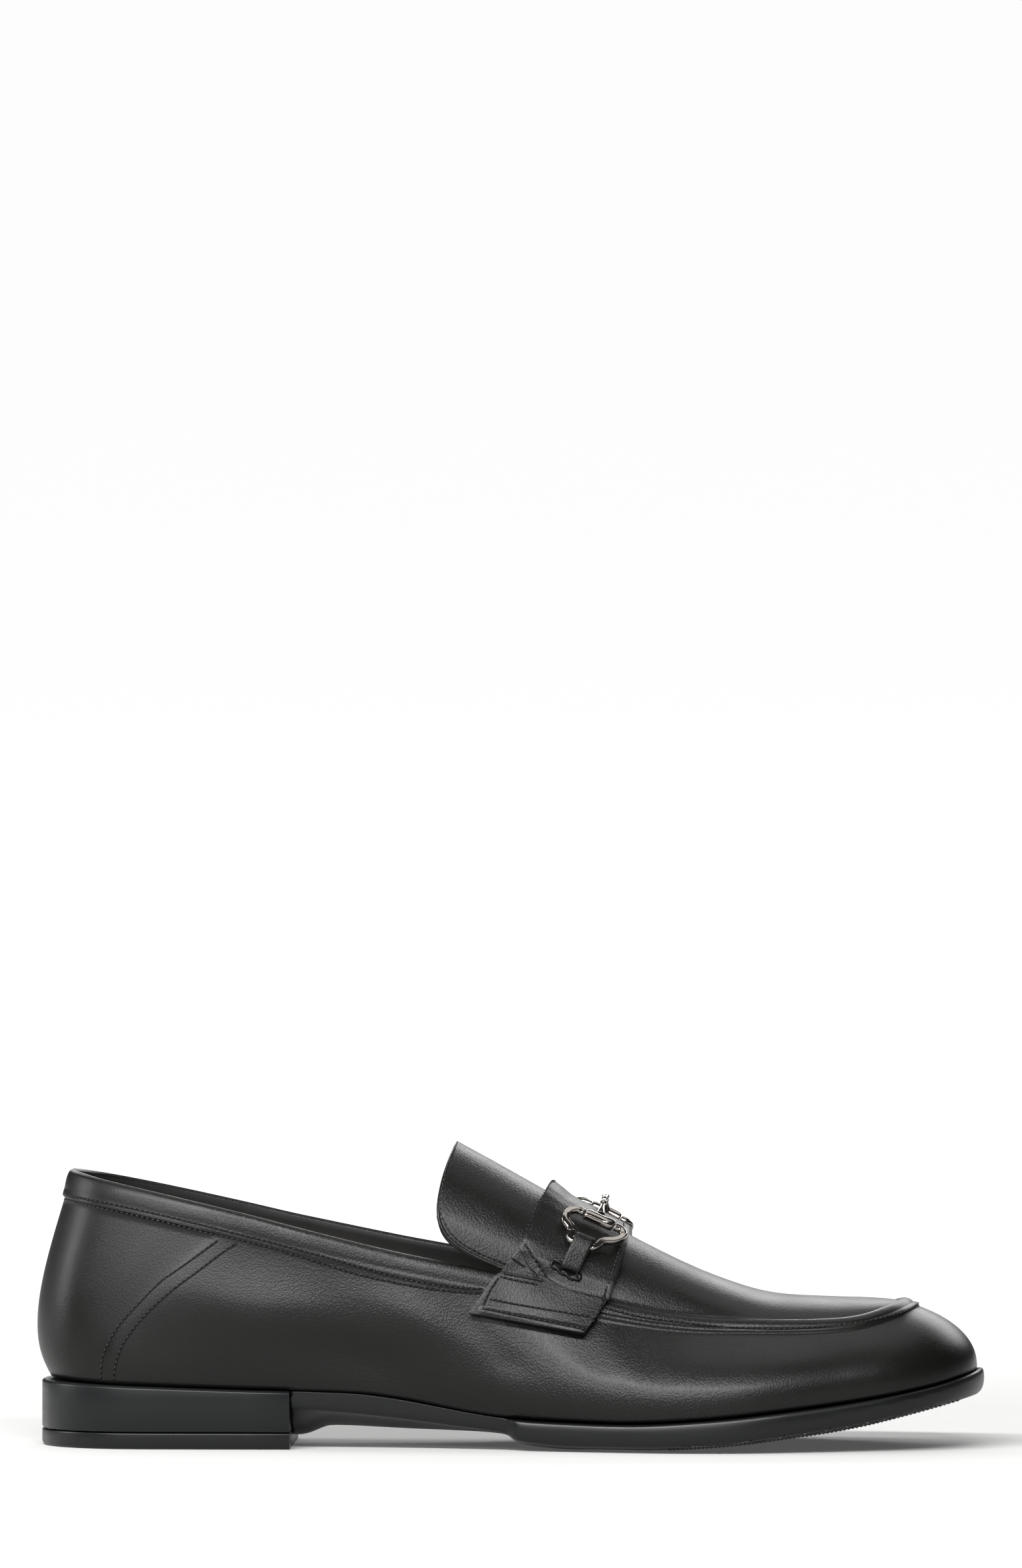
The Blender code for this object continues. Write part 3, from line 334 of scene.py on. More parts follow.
def box_calf():
    """Fine-grain box calf, dyed through and glazed: small pebbles with creases between them, flatter where
    the leather is pulled hard over the heel and the toe, under a thin clear finish. The pebbles are drawn
    0.7 mm wide, which is coarser than real ones, so that they show."""
    surface, tree, shader, place = new_material(
        "box_calf", colours().calf, 0.36, coat=0.06, coat_roughness=0.25, specular=0.22
    )
    per_metre = 1 / sizes().grain
    warp = add_node(
        tree, "ShaderNodeTexNoise", {"Scale": per_metre * 0.6, "Detail": 2.0}, {"Vector": place}
    )
    shift = add_node(
        tree,
        "ShaderNodeVectorMath",
        {"operation": "SCALE", "Scale": sizes().grain * 0.4},
        {0: warp.outputs["Color"]},
    )
    bent = add_node(
        tree, "ShaderNodeVectorMath", {"operation": "ADD"}, {0: place, 1: shift.outputs["Vector"]}
    )
    pebbles = add_node(
        tree,
        "ShaderNodeTexVoronoi",
        {"feature": "SMOOTH_F1", "Scale": per_metre, "Smoothness": 0.35},
        {"Vector": bent.outputs["Vector"]},
    )
    rounded = add_node(
        tree,
        "ShaderNodeMapRange",
        {"From Min": 0.7, "From Max": 0.1, "interpolation_type": "SMOOTHSTEP"},
        {"Value": pebbles.outputs["Distance"]},
    )
    fine = add_node(
        tree, "ShaderNodeTexNoise", {"Scale": per_metre * 2.6, "Detail": 3.0}, {"Vector": place}
    )
    patches = add_node(
        tree, "ShaderNodeTexNoise", {"Scale": CALF_PATCHES, "Detail": 2.0}, {"Vector": place}
    )
    along = add_node(tree, "ShaderNodeSeparateXYZ", None, {"Vector": place}).outputs["X"]
    slack_heel = add_node(
        tree,
        "ShaderNodeMapRange",
        {"From Min": -0.125, "From Max": -0.06, "interpolation_type": "SMOOTHSTEP"},
        {"Value": along},
    )
    slack_toe = add_node(
        tree,
        "ShaderNodeMapRange",
        {"From Min": 0.125, "From Max": 0.045, "interpolation_type": "SMOOTHSTEP"},
        {"Value": along},
    )
    slack = add_node(
        tree,
        "ShaderNodeMath",
        {"operation": "MULTIPLY"},
        {0: slack_heel.outputs["Result"], 1: slack_toe.outputs["Result"]},
    )
    patchy = add_node(
        tree,
        "ShaderNodeMapRange",
        {"From Min": 0.35, "From Max": 0.65, "To Min": 0.45, "To Max": 1.0},
        {"Value": patches.outputs["Fac"]},
    )
    loose = add_node(
        tree,
        "ShaderNodeMath",
        {"operation": "MULTIPLY"},
        {0: slack.outputs[0], 1: patchy.outputs["Result"]},
    )
    amount = add_node(
        tree, "ShaderNodeMath", {"operation": "MULTIPLY_ADD", 1: 0.75, 2: 0.25}, {0: loose.outputs[0]}
    )
    grain = add_node(
        tree,
        "ShaderNodeMath",
        {"operation": "MULTIPLY_ADD"},
        {0: rounded.outputs["Result"], 1: amount.outputs[0], 2: fine.outputs["Fac"]},
    )
    bump = add_node(
        tree, "ShaderNodeBump", {"Strength": 0.7, "Distance": 0.1 * MM}, {"Height": grain.outputs[0]}
    )
    tree.links.new(bump.outputs["Normal"], shader.inputs["Normal"])
    gloss = add_node(
        tree,
        "ShaderNodeMapRange",
        {"From Min": 0.3, "From Max": 0.7, "To Min": 0.31, "To Max": 0.42},
        {"Value": patches.outputs["Fac"]},
    )
    tree.links.new(gloss.outputs["Result"], shader.inputs["Roughness"])
    return surface


def matt_leather(name, faced=False):
    """Vegetable-tanned lining leather: matt, with a faint close grain and cloudy colour. Where it is faced,
    the attribute lined turns from 0 on the collar's black calf facing to 1 on the lining below."""
    colour = colours().lining
    surface, tree, shader, place = new_material(name, colour, 0.62)
    cloud = add_node(
        tree, "ShaderNodeTexNoise", {"Scale": LINING_CLOUDS, "Detail": 3.0}, {"Vector": place}
    )
    darker = (*[v * 0.7 for v in colour], 1.0)
    lighter = (*[min(1.0, v * 1.3) for v in colour], 1.0)
    tint = add_node(
        tree,
        "ShaderNodeMix",
        {"data_type": "RGBA", MIX_A: darker, MIX_B: lighter},
        {"Factor": cloud.outputs["Fac"]},
    )
    shown = tint.outputs[MIX_RESULT]
    if faced:
        lined = add_node(tree, "ShaderNodeAttribute", {"attribute_name": "lined"})
        collar = add_node(
            tree,
            "ShaderNodeMix",
            {"data_type": "RGBA", MIX_A: (*colours().calf, 1.0)},
            {"Factor": lined.outputs["Fac"], MIX_B: shown},
        )
        shown = collar.outputs[MIX_RESULT]
    tree.links.new(shown, shader.inputs["Base Color"])
    fine = add_node(
        tree, "ShaderNodeTexNoise", {"Scale": LINING_GRAIN, "Detail": 3.0}, {"Vector": place}
    )
    bump = add_node(
        tree, "ShaderNodeBump", {"Strength": 0.3, "Distance": 0.06 * MM}, {"Height": fine.outputs["Fac"]}
    )
    tree.links.new(bump.outputs["Normal"], shader.inputs["Normal"])
    return surface


def waxed_thread():
    """Twisted polyester thread, waxed: a soft gloss over fine slanted plies."""
    surface, tree, shader, place = new_material("waxed_thread", colours().thread, 0.42)
    ply = add_node(
        tree,
        "ShaderNodeTexWave",
        {"Scale": THREAD_PLIES, "Distortion": 0.5, "bands_direction": "DIAGONAL"},
        {"Vector": place},
    )
    bump = add_node(
        tree, "ShaderNodeBump", {"Strength": 0.4, "Distance": 0.05 * MM}, {"Height": ply.outputs["Fac"]}
    )
    tree.links.new(bump.outputs["Normal"], shader.inputs["Normal"])
    return surface


def painted_seam_shade():
    """Painted shade under a row of stitches: a dark, dull strip that stands in for the shadow of the
    pressed channel.
    """
    return new_material("painted_seam_shade", colours().seam, 0.7, specular=0.12)[0]


def sole_rubber():
    """Injection-moulded rubber: satin, nearly smooth, with slight flow marks along the edge."""
    surface, tree, shader, place = new_material(
        "sole_rubber", colours().rubber, 0.34, coat=0.06, coat_roughness=0.3, specular=0.25
    )
    flow = add_node(
        tree, "ShaderNodeMapping", {"vector_type": "POINT", "Scale": RUBBER_FLOW}, {"Vector": place}
    )
    marks = add_node(
        tree, "ShaderNodeTexNoise", {"Scale": 1.0, "Detail": 4.0}, {"Vector": flow.outputs["Vector"]}
    )
    fine = add_node(
        tree, "ShaderNodeTexNoise", {"Scale": RUBBER_GRAIN, "Detail": 2.0}, {"Vector": place}
    )
    height = add_node(
        tree,
        "ShaderNodeMath",
        {"operation": "MULTIPLY_ADD", 1: 0.25},
        {0: fine.outputs["Fac"], 2: marks.outputs["Fac"]},
    )
    bump = add_node(
        tree, "ShaderNodeBump", {"Strength": 0.25, "Distance": 0.1 * MM}, {"Height": height.outputs[0]}
    )
    tree.links.new(bump.outputs["Normal"], shader.inputs["Normal"])
    gloss = add_node(
        tree,
        "ShaderNodeMapRange",
        {"From Min": 0.3, "From Max": 0.7, "To Min": 0.28, "To Max": 0.42},
        {"Value": marks.outputs["Fac"]},
    )
    tree.links.new(gloss.outputs["Result"], shader.inputs["Roughness"])
    return surface


def waxed_heel():
    """Stacked heel leather, sanded, dyed and waxed: satin, with faint level lines between its layers."""
    surface, tree, shader, place = new_material(
        "waxed_heel", colours().heel, 0.36, coat=0.06, coat_roughness=0.25, specular=0.25
    )
    stretched = add_node(
        tree, "ShaderNodeMapping", {"vector_type": "POINT", "Scale": HEEL_LAYERS}, {"Vector": place}
    )
    layers = add_node(
        tree, "ShaderNodeTexNoise", {"Scale": 1.0, "Detail": 3.0}, {"Vector": stretched.outputs["Vector"]}
    )
    bump = add_node(
        tree,
        "ShaderNodeBump",
        {"Strength": 0.12, "Distance": 0.08 * MM},
        {"Height": layers.outputs["Fac"]},
    )
    tree.links.new(bump.outputs["Normal"], shader.inputs["Normal"])
    gloss = add_node(
        tree,
        "ShaderNodeMapRange",
        {"From Min": 0.3, "From Max": 0.7, "To Min": 0.3, "To Max": 0.42},
        {"Value": layers.outputs["Fac"]},
    )
    tree.links.new(gloss.outputs["Result"], shader.inputs["Roughness"])
    return surface


def polished_gunmetal():
    """Cast zinc, polished and plated in gunmetal: a dark warm mirror with faint polishing waves."""
    surface, tree, shader, place = new_material(
        "polished_gunmetal", colours().gunmetal, 0.14, metallic=1.0
    )
    waves = add_node(
        tree, "ShaderNodeTexNoise", {"Scale": POLISHING_WAVES, "Detail": 2.0}, {"Vector": place}
    )
    bump = add_node(
        tree, "ShaderNodeBump", {"Strength": 0.08, "Distance": 0.1 * MM}, {"Height": waves.outputs["Fac"]}
    )
    tree.links.new(bump.outputs["Normal"], shader.inputs["Normal"])
    return surface


MAKERS = {
    "box_calf": box_calf,
    "lining_leather": lambda: matt_leather("lining_leather"),
    "collar_lining": lambda: matt_leather("collar_lining", faced=True),
    "waxed_thread": waxed_thread,
    "painted_seam_shade": painted_seam_shade,
    "sole_rubber": sole_rubber,
    "waxed_heel": waxed_heel,
    "polished_gunmetal": polished_gunmetal,
}
MATERIALS = {}


def material(name):
    """A material by its name, made when it is first asked for."""
    if name not in MATERIALS:
        MATERIALS[name] = MAKERS[name]()
    return MATERIALS[name]


def deselect():
    for piece in bpy.context.selected_objects:
        piece.select_set(False)


def only(piece):
    """Selects one piece alone and makes it active."""
    deselect()
    piece.select_set(True)
    bpy.context.view_layer.objects.active = piece


def dress(piece, slot, *nodes):
    """Puts a finished piece on the shoe's body and hides the nodes it stands for. slot is not used."""
    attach(piece, "root")
    if nodes:
        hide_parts(*nodes)
    return piece


def new_mesh_object(name, vertices, faces, surface):
    """A new smooth piece from corners and faces."""
    if not faces:
        raise RuntimeError(f"{name} came out without faces")
    mesh = bpy.data.meshes.new(name)
    mesh.from_pydata([tuple(v) for v in vertices], [], faces)
    mesh.materials.append(surface)
    piece = bpy.data.objects.new(name, mesh)
    bpy.context.scene.collection.objects.link(piece)
    only(piece)
    bpy.ops.object.shade_smooth()
    return piece


def refined_copy(node, name, surface, levels, sharp=55.0, crease=0.75):
    """A copy of a CAD node, merged into quads and subdivided, with its sharp edges kept tight."""
    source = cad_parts[node]
    piece = source.copy()
    piece.data = source.data.copy()
    piece.name = piece.data.name = name
    piece.parent = None
    for key in list(piece.keys()):
        del piece[key]
    bpy.context.scene.collection.objects.link(piece)
    only(piece)
    if piece.data.has_custom_normals:
        bpy.ops.mesh.customdata_custom_splitnormals_clear()
    bpy.ops.object.mode_set(mode="EDIT")
    bpy.ops.mesh.select_all(action="SELECT")
    bpy.ops.mesh.remove_doubles(threshold=0.01 * MM)
    bpy.ops.mesh.tris_convert_to_quads(
        face_threshold=math.radians(60), shape_threshold=math.radians(80)
    )
    bpy.ops.mesh.normals_make_consistent(inside=False)
    sheet = bmesh.from_edit_mesh(piece.data)
    creases = sheet.edges.layers.float.get("crease_edge") or sheet.edges.layers.float.new("crease_edge")
    for edge in sheet.edges:
        edge.smooth = True
        if len(edge.link_faces) == 2 and edge.calc_face_angle() > math.radians(sharp):
            edge[creases] = crease
    bmesh.update_edit_mesh(piece.data)
    bpy.ops.object.mode_set(mode="OBJECT")
    piece.data.materials.clear()
    piece.data.materials.append(surface)
    if levels:
        finish = piece.modifiers.new("subdivide", "SUBSURF")
        finish.levels = finish.render_levels = levels
        bpy.ops.object.modifier_apply(modifier=finish.name)
    bpy.ops.object.shade_smooth()
    return piece


def crisp_copy(node, name, surface, rounding, cuts=0, reshape=None):
    """A copy of a CAD node with its sharp edges rounded a little, and its faces cut finer and reshaped."""
    piece = refined_copy(node, name, surface, 0)
    edge = piece.modifiers.new("rounding", "BEVEL")
    edge.width = rounding
    edge.segments = 2
    edge.limit_method = "ANGLE"
    edge.angle_limit = math.radians(CRISP_ANGLE)
    bpy.ops.object.modifier_apply(modifier=edge.name)
    if cuts:
        finer = piece.modifiers.new("finer", "SUBSURF")
        finer.subdivision_type = "SIMPLE"
        finer.levels = finer.render_levels = cuts
        bpy.ops.object.modifier_apply(modifier=finer.name)
    if reshape:
        reshape(piece)
    bpy.ops.object.shade_smooth_by_angle(angle=math.radians(CRISP_ANGLE))
    return piece


def points_of(piece):
    co = np.zeros(len(piece.data.vertices) * 3)
    piece.data.vertices.foreach_get("co", co)
    return co.reshape(-1, 3)


def normals_of(piece):
    normals = np.zeros(len(piece.data.vertices) * 3)
    piece.data.vertex_normals.foreach_get("vector", normals)
    return normals.reshape(-1, 3)


def set_points(piece, points):
    piece.data.vertices.foreach_set("co", np.asarray(points, dtype=float).ravel())
    piece.data.update()


def surface_of(piece):
    """A tree of a piece's faces, to find points on them."""
    vertices = [v.co.copy() for v in piece.data.vertices]
    return BVHTree.FromPolygons(vertices, [tuple(face.vertices) for face in piece.data.polygons])


def spline(points, steps):
    """Points on a smooth open curve through the given ones."""
    padded = [2 * points[0] - points[1], *points, 2 * points[-1] - points[-2]]
    result = []
    for a, b, c, d in zip(padded, padded[1:], padded[2:], padded[3:]):
        for k in range(steps):
            t = k / steps
            slope = 0.5 * t * (c - a)
            bend = t * t * (a - 2.5 * b + 2 * c - 0.5 * d)
            twist = t**3 * (1.5 * (b - c) + 0.5 * (d - a))
            result.append(b + slope + bend + twist)
    result.append(points[-1])
    return result


def at_pixel(x, y):
    """The place of a pixel in the picture's plane through the origin."""
    return (x - ORIGIN_PIXEL[0]) * PIXEL * VIEW_RIGHT + (ORIGIN_PIXEL[1] - y) * PIXEL * VIEW_UP


def under_pixel(surface, x, y):
    """The point and normal on a surface that the photograph shows at a pixel, or None."""
    start = at_pixel(x, y) - RAY_START_BEFORE * VIEW_AHEAD
    point, normal, _, _ = surface.ray_cast(start, VIEW_AHEAD)
    return (point, normal) if point else None


def checked(line):
    """Stops the script if a line has missed its surface."""
    if len(line) < 2:
        raise RuntimeError("a line misses its surface")
    return line


def lateral_line(surface, pixels, steps=12):
    """A line on the lateral side through pixels of the photograph, as (point, normal) pairs."""
    line = spline([Vector(pixel) for pixel in pixels], steps)
    found = [under_pixel(surface, *pixel) for pixel in line]
    return checked([pair for pair in found if pair and pair[0].y < 0])


class TopLine:
    """The topline's height along the shoe on each side."""

    def __init__(self):
        points = points_of(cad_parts["upper"])
        self.x = np.linspace(TOPLINE_REAR, 0.0, TOPLINE_STATIONS)
        self.z = {}
        for side in (-1, 1):
            heights = []
            for x in self.x:
                along = np.abs(points[:, 0] - x) < STATION_REACH
                near = points[along & (points[:, 1] * side > MIDDLE_GAP)]
                heights.append(near[:, 2].max())
            self.z[side] = np.array(heights)

    def height(self, x, side):
        return np.interp(x, self.x, self.z[side])

    def rise(self, x):
        """How much higher the medial topline is."""
        return float(self.height(x, 1) - self.height(x, -1))


def medial_line(surface, lateral, lift=None):
    """A lateral line carried over to the medial side, raised by lift(x) where that side is higher."""
    line = []
    for point, _ in lateral:
        start = Vector((point.x, RAY_START_BESIDE, point.z + (lift(point.x) if lift else 0.0)))
        hit, normal, _, _ = surface.ray_cast(start, Vector((0, -1, 0)))
        if hit and hit.y > 0:
            line.append((hit, normal))
    return checked(line)


def both_sides(surface, pixels, lift=None, steps=12):
    """A lateral line and its like on the medial side."""
    line = lateral_line(surface, pixels, steps)
    return [line, medial_line(surface, line, lift)]


def at_even_steps(line, pitch, inset=0.0):
    """Points every pitch along a line: (point, normal, direction)."""
    points = np.array([point for point, _ in line])
    normals = np.array([normal for _, normal in line])
    lengths = np.r_[0.0, np.cumsum(np.linalg.norm(np.diff(points, axis=0), axis=1))]

    def at(place, values):
        return Vector([np.interp(place, lengths, values[:, k]) for k in range(3)])

    result = []
    for place in np.arange(inset, lengths[-1] - inset, pitch):
        ahead = at(place + pitch / 2, points) - at(place - pitch / 2, points)
        result.append((at(place, points), at(place, normals).normalized(), ahead.normalized()))
    return result


def stitch_shape():
    """One stitch, along X with Z up: a flattened bead whose ends dip into their holes."""
    deselect()
    bpy.ops.mesh.primitive_uv_sphere_add(segments=8, ring_count=6, radius=0.5, rotation=(0, math.pi / 2, 0))
    stitch = bpy.context.active_object
    bpy.ops.object.transform_apply(location=True, rotation=True, scale=True)
    bpy.ops.object.mode_set(mode="EDIT")
    bpy.ops.mesh.select_all(action="SELECT")
    size = (sizes().stitch_length, sizes().thread, sizes().thread)
    bpy.ops.transform.resize(value=size)
    bpy.ops.object.mode_set(mode="OBJECT")
    points = points_of(stitch)
    reach = np.abs(points[:, 0]) / (sizes().stitch_length / 2)
    points[:, 2] -= THREAD_DIP * sizes().thread * reach**2
    faces = [tuple(face.vertices) for face in stitch.data.polygons]
    bpy.data.objects.remove(stitch)
    return points, faces


def stitches(name, lines):
    """Stitches along lines on a surface, as one mesh."""
    shape, shape_faces = stitch_shape()
    vertices, faces = [], []
    for line in lines:
        for point, normal, ahead in at_even_steps(line, sizes().stitch_pitch, sizes().stitch_pitch / 2):
            side = normal.cross(ahead).normalized()
            ahead = side.cross(normal)
            turn = Matrix((ahead, side, normal)).transposed()
            middle = point + normal * sizes().thread * (0.5 - THREAD_SINK)
            start = len(vertices)
            vertices += [middle + turn @ Vector(v) for v in shape]
            faces += [tuple(start + v for v in face) for face in shape_faces]
    return dress(new_mesh_object(name, vertices, faces, material("waxed_thread")), "calf")


def seam_shade_strips(name, lines, width=SEAM_WIDTH, lift=SEAM_LIFT):
    """Thin dark strips of painted shade along rows of stitches and slits, as one mesh."""
    vertices, faces = [], []
    for line in lines:
        for k, (point, normal, ahead) in enumerate(at_even_steps(line, SEAM_STEP)):
            side = normal.cross(ahead).normalized() * width / 2
            low = point + normal * lift * SEAM_SIDE_SHARE
            vertices += [low + side, point + normal * lift, low - side]
            if k:
                a = len(vertices) - 6
                faces += [(a, a + 1, a + 4, a + 3), (a + 1, a + 2, a + 5, a + 4)]
    return dress(new_mesh_object(name, vertices, faces, material("painted_seam_shade")), "calf")


def cords(name, lines, radius, surface, lift, plait=0.0):
    """Round cords along lines on a surface, as one mesh. plait is how deep two plies twist together."""
    sides = CORD_SIDES
    vertices, faces = [], []
    for line in lines:
        first = len(vertices)
        for k, (point, normal, ahead) in enumerate(at_even_steps(line, CORD_STEP)):
            side = normal.cross(ahead).normalized()
            middle = point + normal * lift
            for s in range(sides):
                angle = 2 * math.pi * s / sides
                reach = radius * (1 + plait * math.cos(2 * angle - k * PLY_TURN))
                vertices.append(middle + reach * (math.cos(angle) * side + math.sin(angle) * normal))
            if k:
                a, b = len(vertices) - 2 * sides, len(vertices) - sides
                faces += [(a + s, a + (s + 1) % sides, b + (s + 1) % sides, b + s) for s in range(sides)]
        faces.append(tuple(first + s for s in reversed(range(sides))))
        faces.append(tuple(len(vertices) - sides + s for s in range(sides)))
    return new_mesh_object(name, vertices, faces, surface)


def radial_hit(surface, x, angle):
    """Where a ray towards the shoe's middle meets a surface. angle 0 is up and positive is medial."""
    out = Vector((0.0, math.sin(angle), math.cos(angle)))
    middle = Vector((x, 0.0, SHOE_MIDDLE))
    point, normal, _, _ = surface.ray_cast(middle + out * RAY_START_ROUND, -out, RAY_START_ROUND)
    if point and (point - middle).dot(out) > LEAST_RADIUS:
        return point, normal
    return None


def evened(line, times):
    """Evens out a line of (point, value) pairs in place, apart from its two ends."""
    for _ in range(times):
        softer = [(a + 2 * b + c) / 4 for (a, _), (b, _), (c, _) in zip(line, line[1:], line[2:])]
        line[1:-1] = [(point, value) for point, (_, value) in zip(softer, line[1:-1])]
    return line


def edge_line(surface, angles, on, off, margin):
    """The line a margin inside an edge that crosses the shoe, for angles given in degrees as first, last
    and number: on is a place on the sheet and off is one beyond it."""
    edge = []
    for angle in np.radians(np.linspace(*angles)):
        inside, outside = on, off
        for _ in range(EDGE_HALVINGS):
            middle = (inside + outside) / 2
            if radial_hit(surface, middle, angle):
                inside = middle
            else:
                outside = middle
        hit = radial_hit(surface, inside, angle)
        if hit:
            edge.append((hit[0], angle))
    evened(edge, EDGE_EVENING)
    step = math.copysign(WALK_STEP, on - off)
    line = []
    for (before, _), (point, angle), (after, _) in zip(edge, edge[1:], edge[2:]):
        ahead = (after - before).normalized()
        for k in range(1, WALK_STEPS):
            hit = radial_hit(surface, point.x + k * step, angle)
            away = hit[0] - point if hit else Vector()
            if (away - away.dot(ahead) * ahead).length >= margin:
                line.append(hit)
                break
    return evened(checked(line), ROW_EVENING)


def beside_line(points, start, end):
    """How far along a line in the side view each point lies, from 0 to 1, and how far off it."""
    flat = points[:, [0, 2]]
    ahead = end - start
    share = np.clip(((flat - start) @ ahead) / ahead.dot(ahead), 0, 1)
    return share, np.linalg.norm(flat - start - share[:, None] * ahead, axis=1)


def shape_folds(piece):
    """Presses the soft folds into the upper's sides, both faces of its wall alike."""
    points = points_of(piece)
    outward = np.sign(points[:, 1])
    for fold in TROUGHS:
        share, away = beside_line(points, np.array(fold.start) * MM, np.array(fold.end) * MM)
        along = np.sin(math.pi * (FOLD_END + (1 - 2 * FOLD_END) * share))
        across = np.exp(-((away / (fold.width * MM)) ** 2))
        depth = np.where(outward < 0, fold.lateral, fold.medial) * fold.depth * sizes().fold_depth
        points[:, 1] -= outward * along * across * depth
    set_points(piece, points)


def paint_lining(piece, top):
    """Gives the upper's inner faces the lining, which turns to calf along the topline."""
    points = points_of(piece)
    x, y, z = points.T
    below = (np.where(y > 0, top.height(x, 1), top.height(x, -1)) - z) / sizes().facing
    lined = np.where(x > THROAT_END, 1.0, np.clip((below - 1) / FACING_BORDER, 0, 1))
    piece.data.attributes.new("lined", "FLOAT", "POINT").data.foreach_set("value", lined)
    piece.data.materials.append(material("collar_lining"))
    surface = surface_of(piece)
    for face in piece.data.polygons:
        hit, _, _, distance = surface.ray_cast(face.center + face.normal * MM, face.normal)
        face.material_index = 1 if hit is not None and distance > FAR_WALL else 0


class PieceOperator:
    """What all the operators share: they can be undone."""

    bl_options = {"REGISTER", "UNDO"}


class LOAFER_OT_upper(PieceOperator, bpy.types.Operator):
    """Makes the calf upper with its lining, folds and seams"""

    bl_idname = "loafer.upper"
    bl_label = "Upper"

    def execute(self, context):
        top = TopLine()
        upper = refined_copy("upper", "upper_calf", material("box_calf"), 2)
        shape_folds(upper)
        paint_lining(upper, top)
        dress(upper, "calf", "upper")
        surface = surface_of(upper)
        rows = []
        for pixels, lift in (
            (COUNTER_ROW_REAR, None),
            (COUNTER_ROW_FRONT, None),
            (COLLAR_ROW_UPPER, top.rise),
            (COLLAR_ROW_LOWER, top.rise),
            (BEAD_ROW, None),
        ):
            rows += both_sides(surface, pixels, lift)
        stitches("upper_stitches", rows)
        # Dark strips of painted shade under the rows of stitches.
        seam_shade_strips("upper_seam_shade", rows)
        return {"FINISHED"}


class LOAFER_OT_tongue(PieceOperator, bpy.types.Operator):
    """Makes the tongue with its lined back, its piping and its edge stitches"""

    bl_idname = "loafer.tongue"
    bl_label = "Tongue"

    def execute(self, context):
        tongue = refined_copy("tongue", "tongue_calf", material("box_calf"), 3, crease=0.55)
        tongue.data.materials.append(material("lining_leather"))
        for face in tongue.data.polygons:
            outward = face.normal.dot(face.center - Vector((face.center.x, 0.0, TONGUE_CORE_HEIGHT)))
            face.material_index = 1 if outward < -TONGUE_BACK_SHARE * face.center.length else 0
        dress(tongue, "calf", "tongue")
        low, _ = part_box("tongue")
        on, off = (low.x + offset for offset in TONGUE_SPAN)
        surface = surface_of(tongue)
        row = edge_line(surface, TONGUE_ANGLES, on, off, sizes().edge_margin)
        rim = edge_line(surface, TONGUE_ANGLES, on, off, PIPING_MARGIN)
        piping = cords("tongue_piping", [rim], PIPING_RADIUS, material("box_calf"), -PIPING_SINK)
        dress(piping, "calf")
        stitches("tongue_stitches", [row])
        # Dark strips of painted shade under the row of stitches.
        seam_shade_strips("tongue_seam_shade", [row])
        return {"FINISHED"}


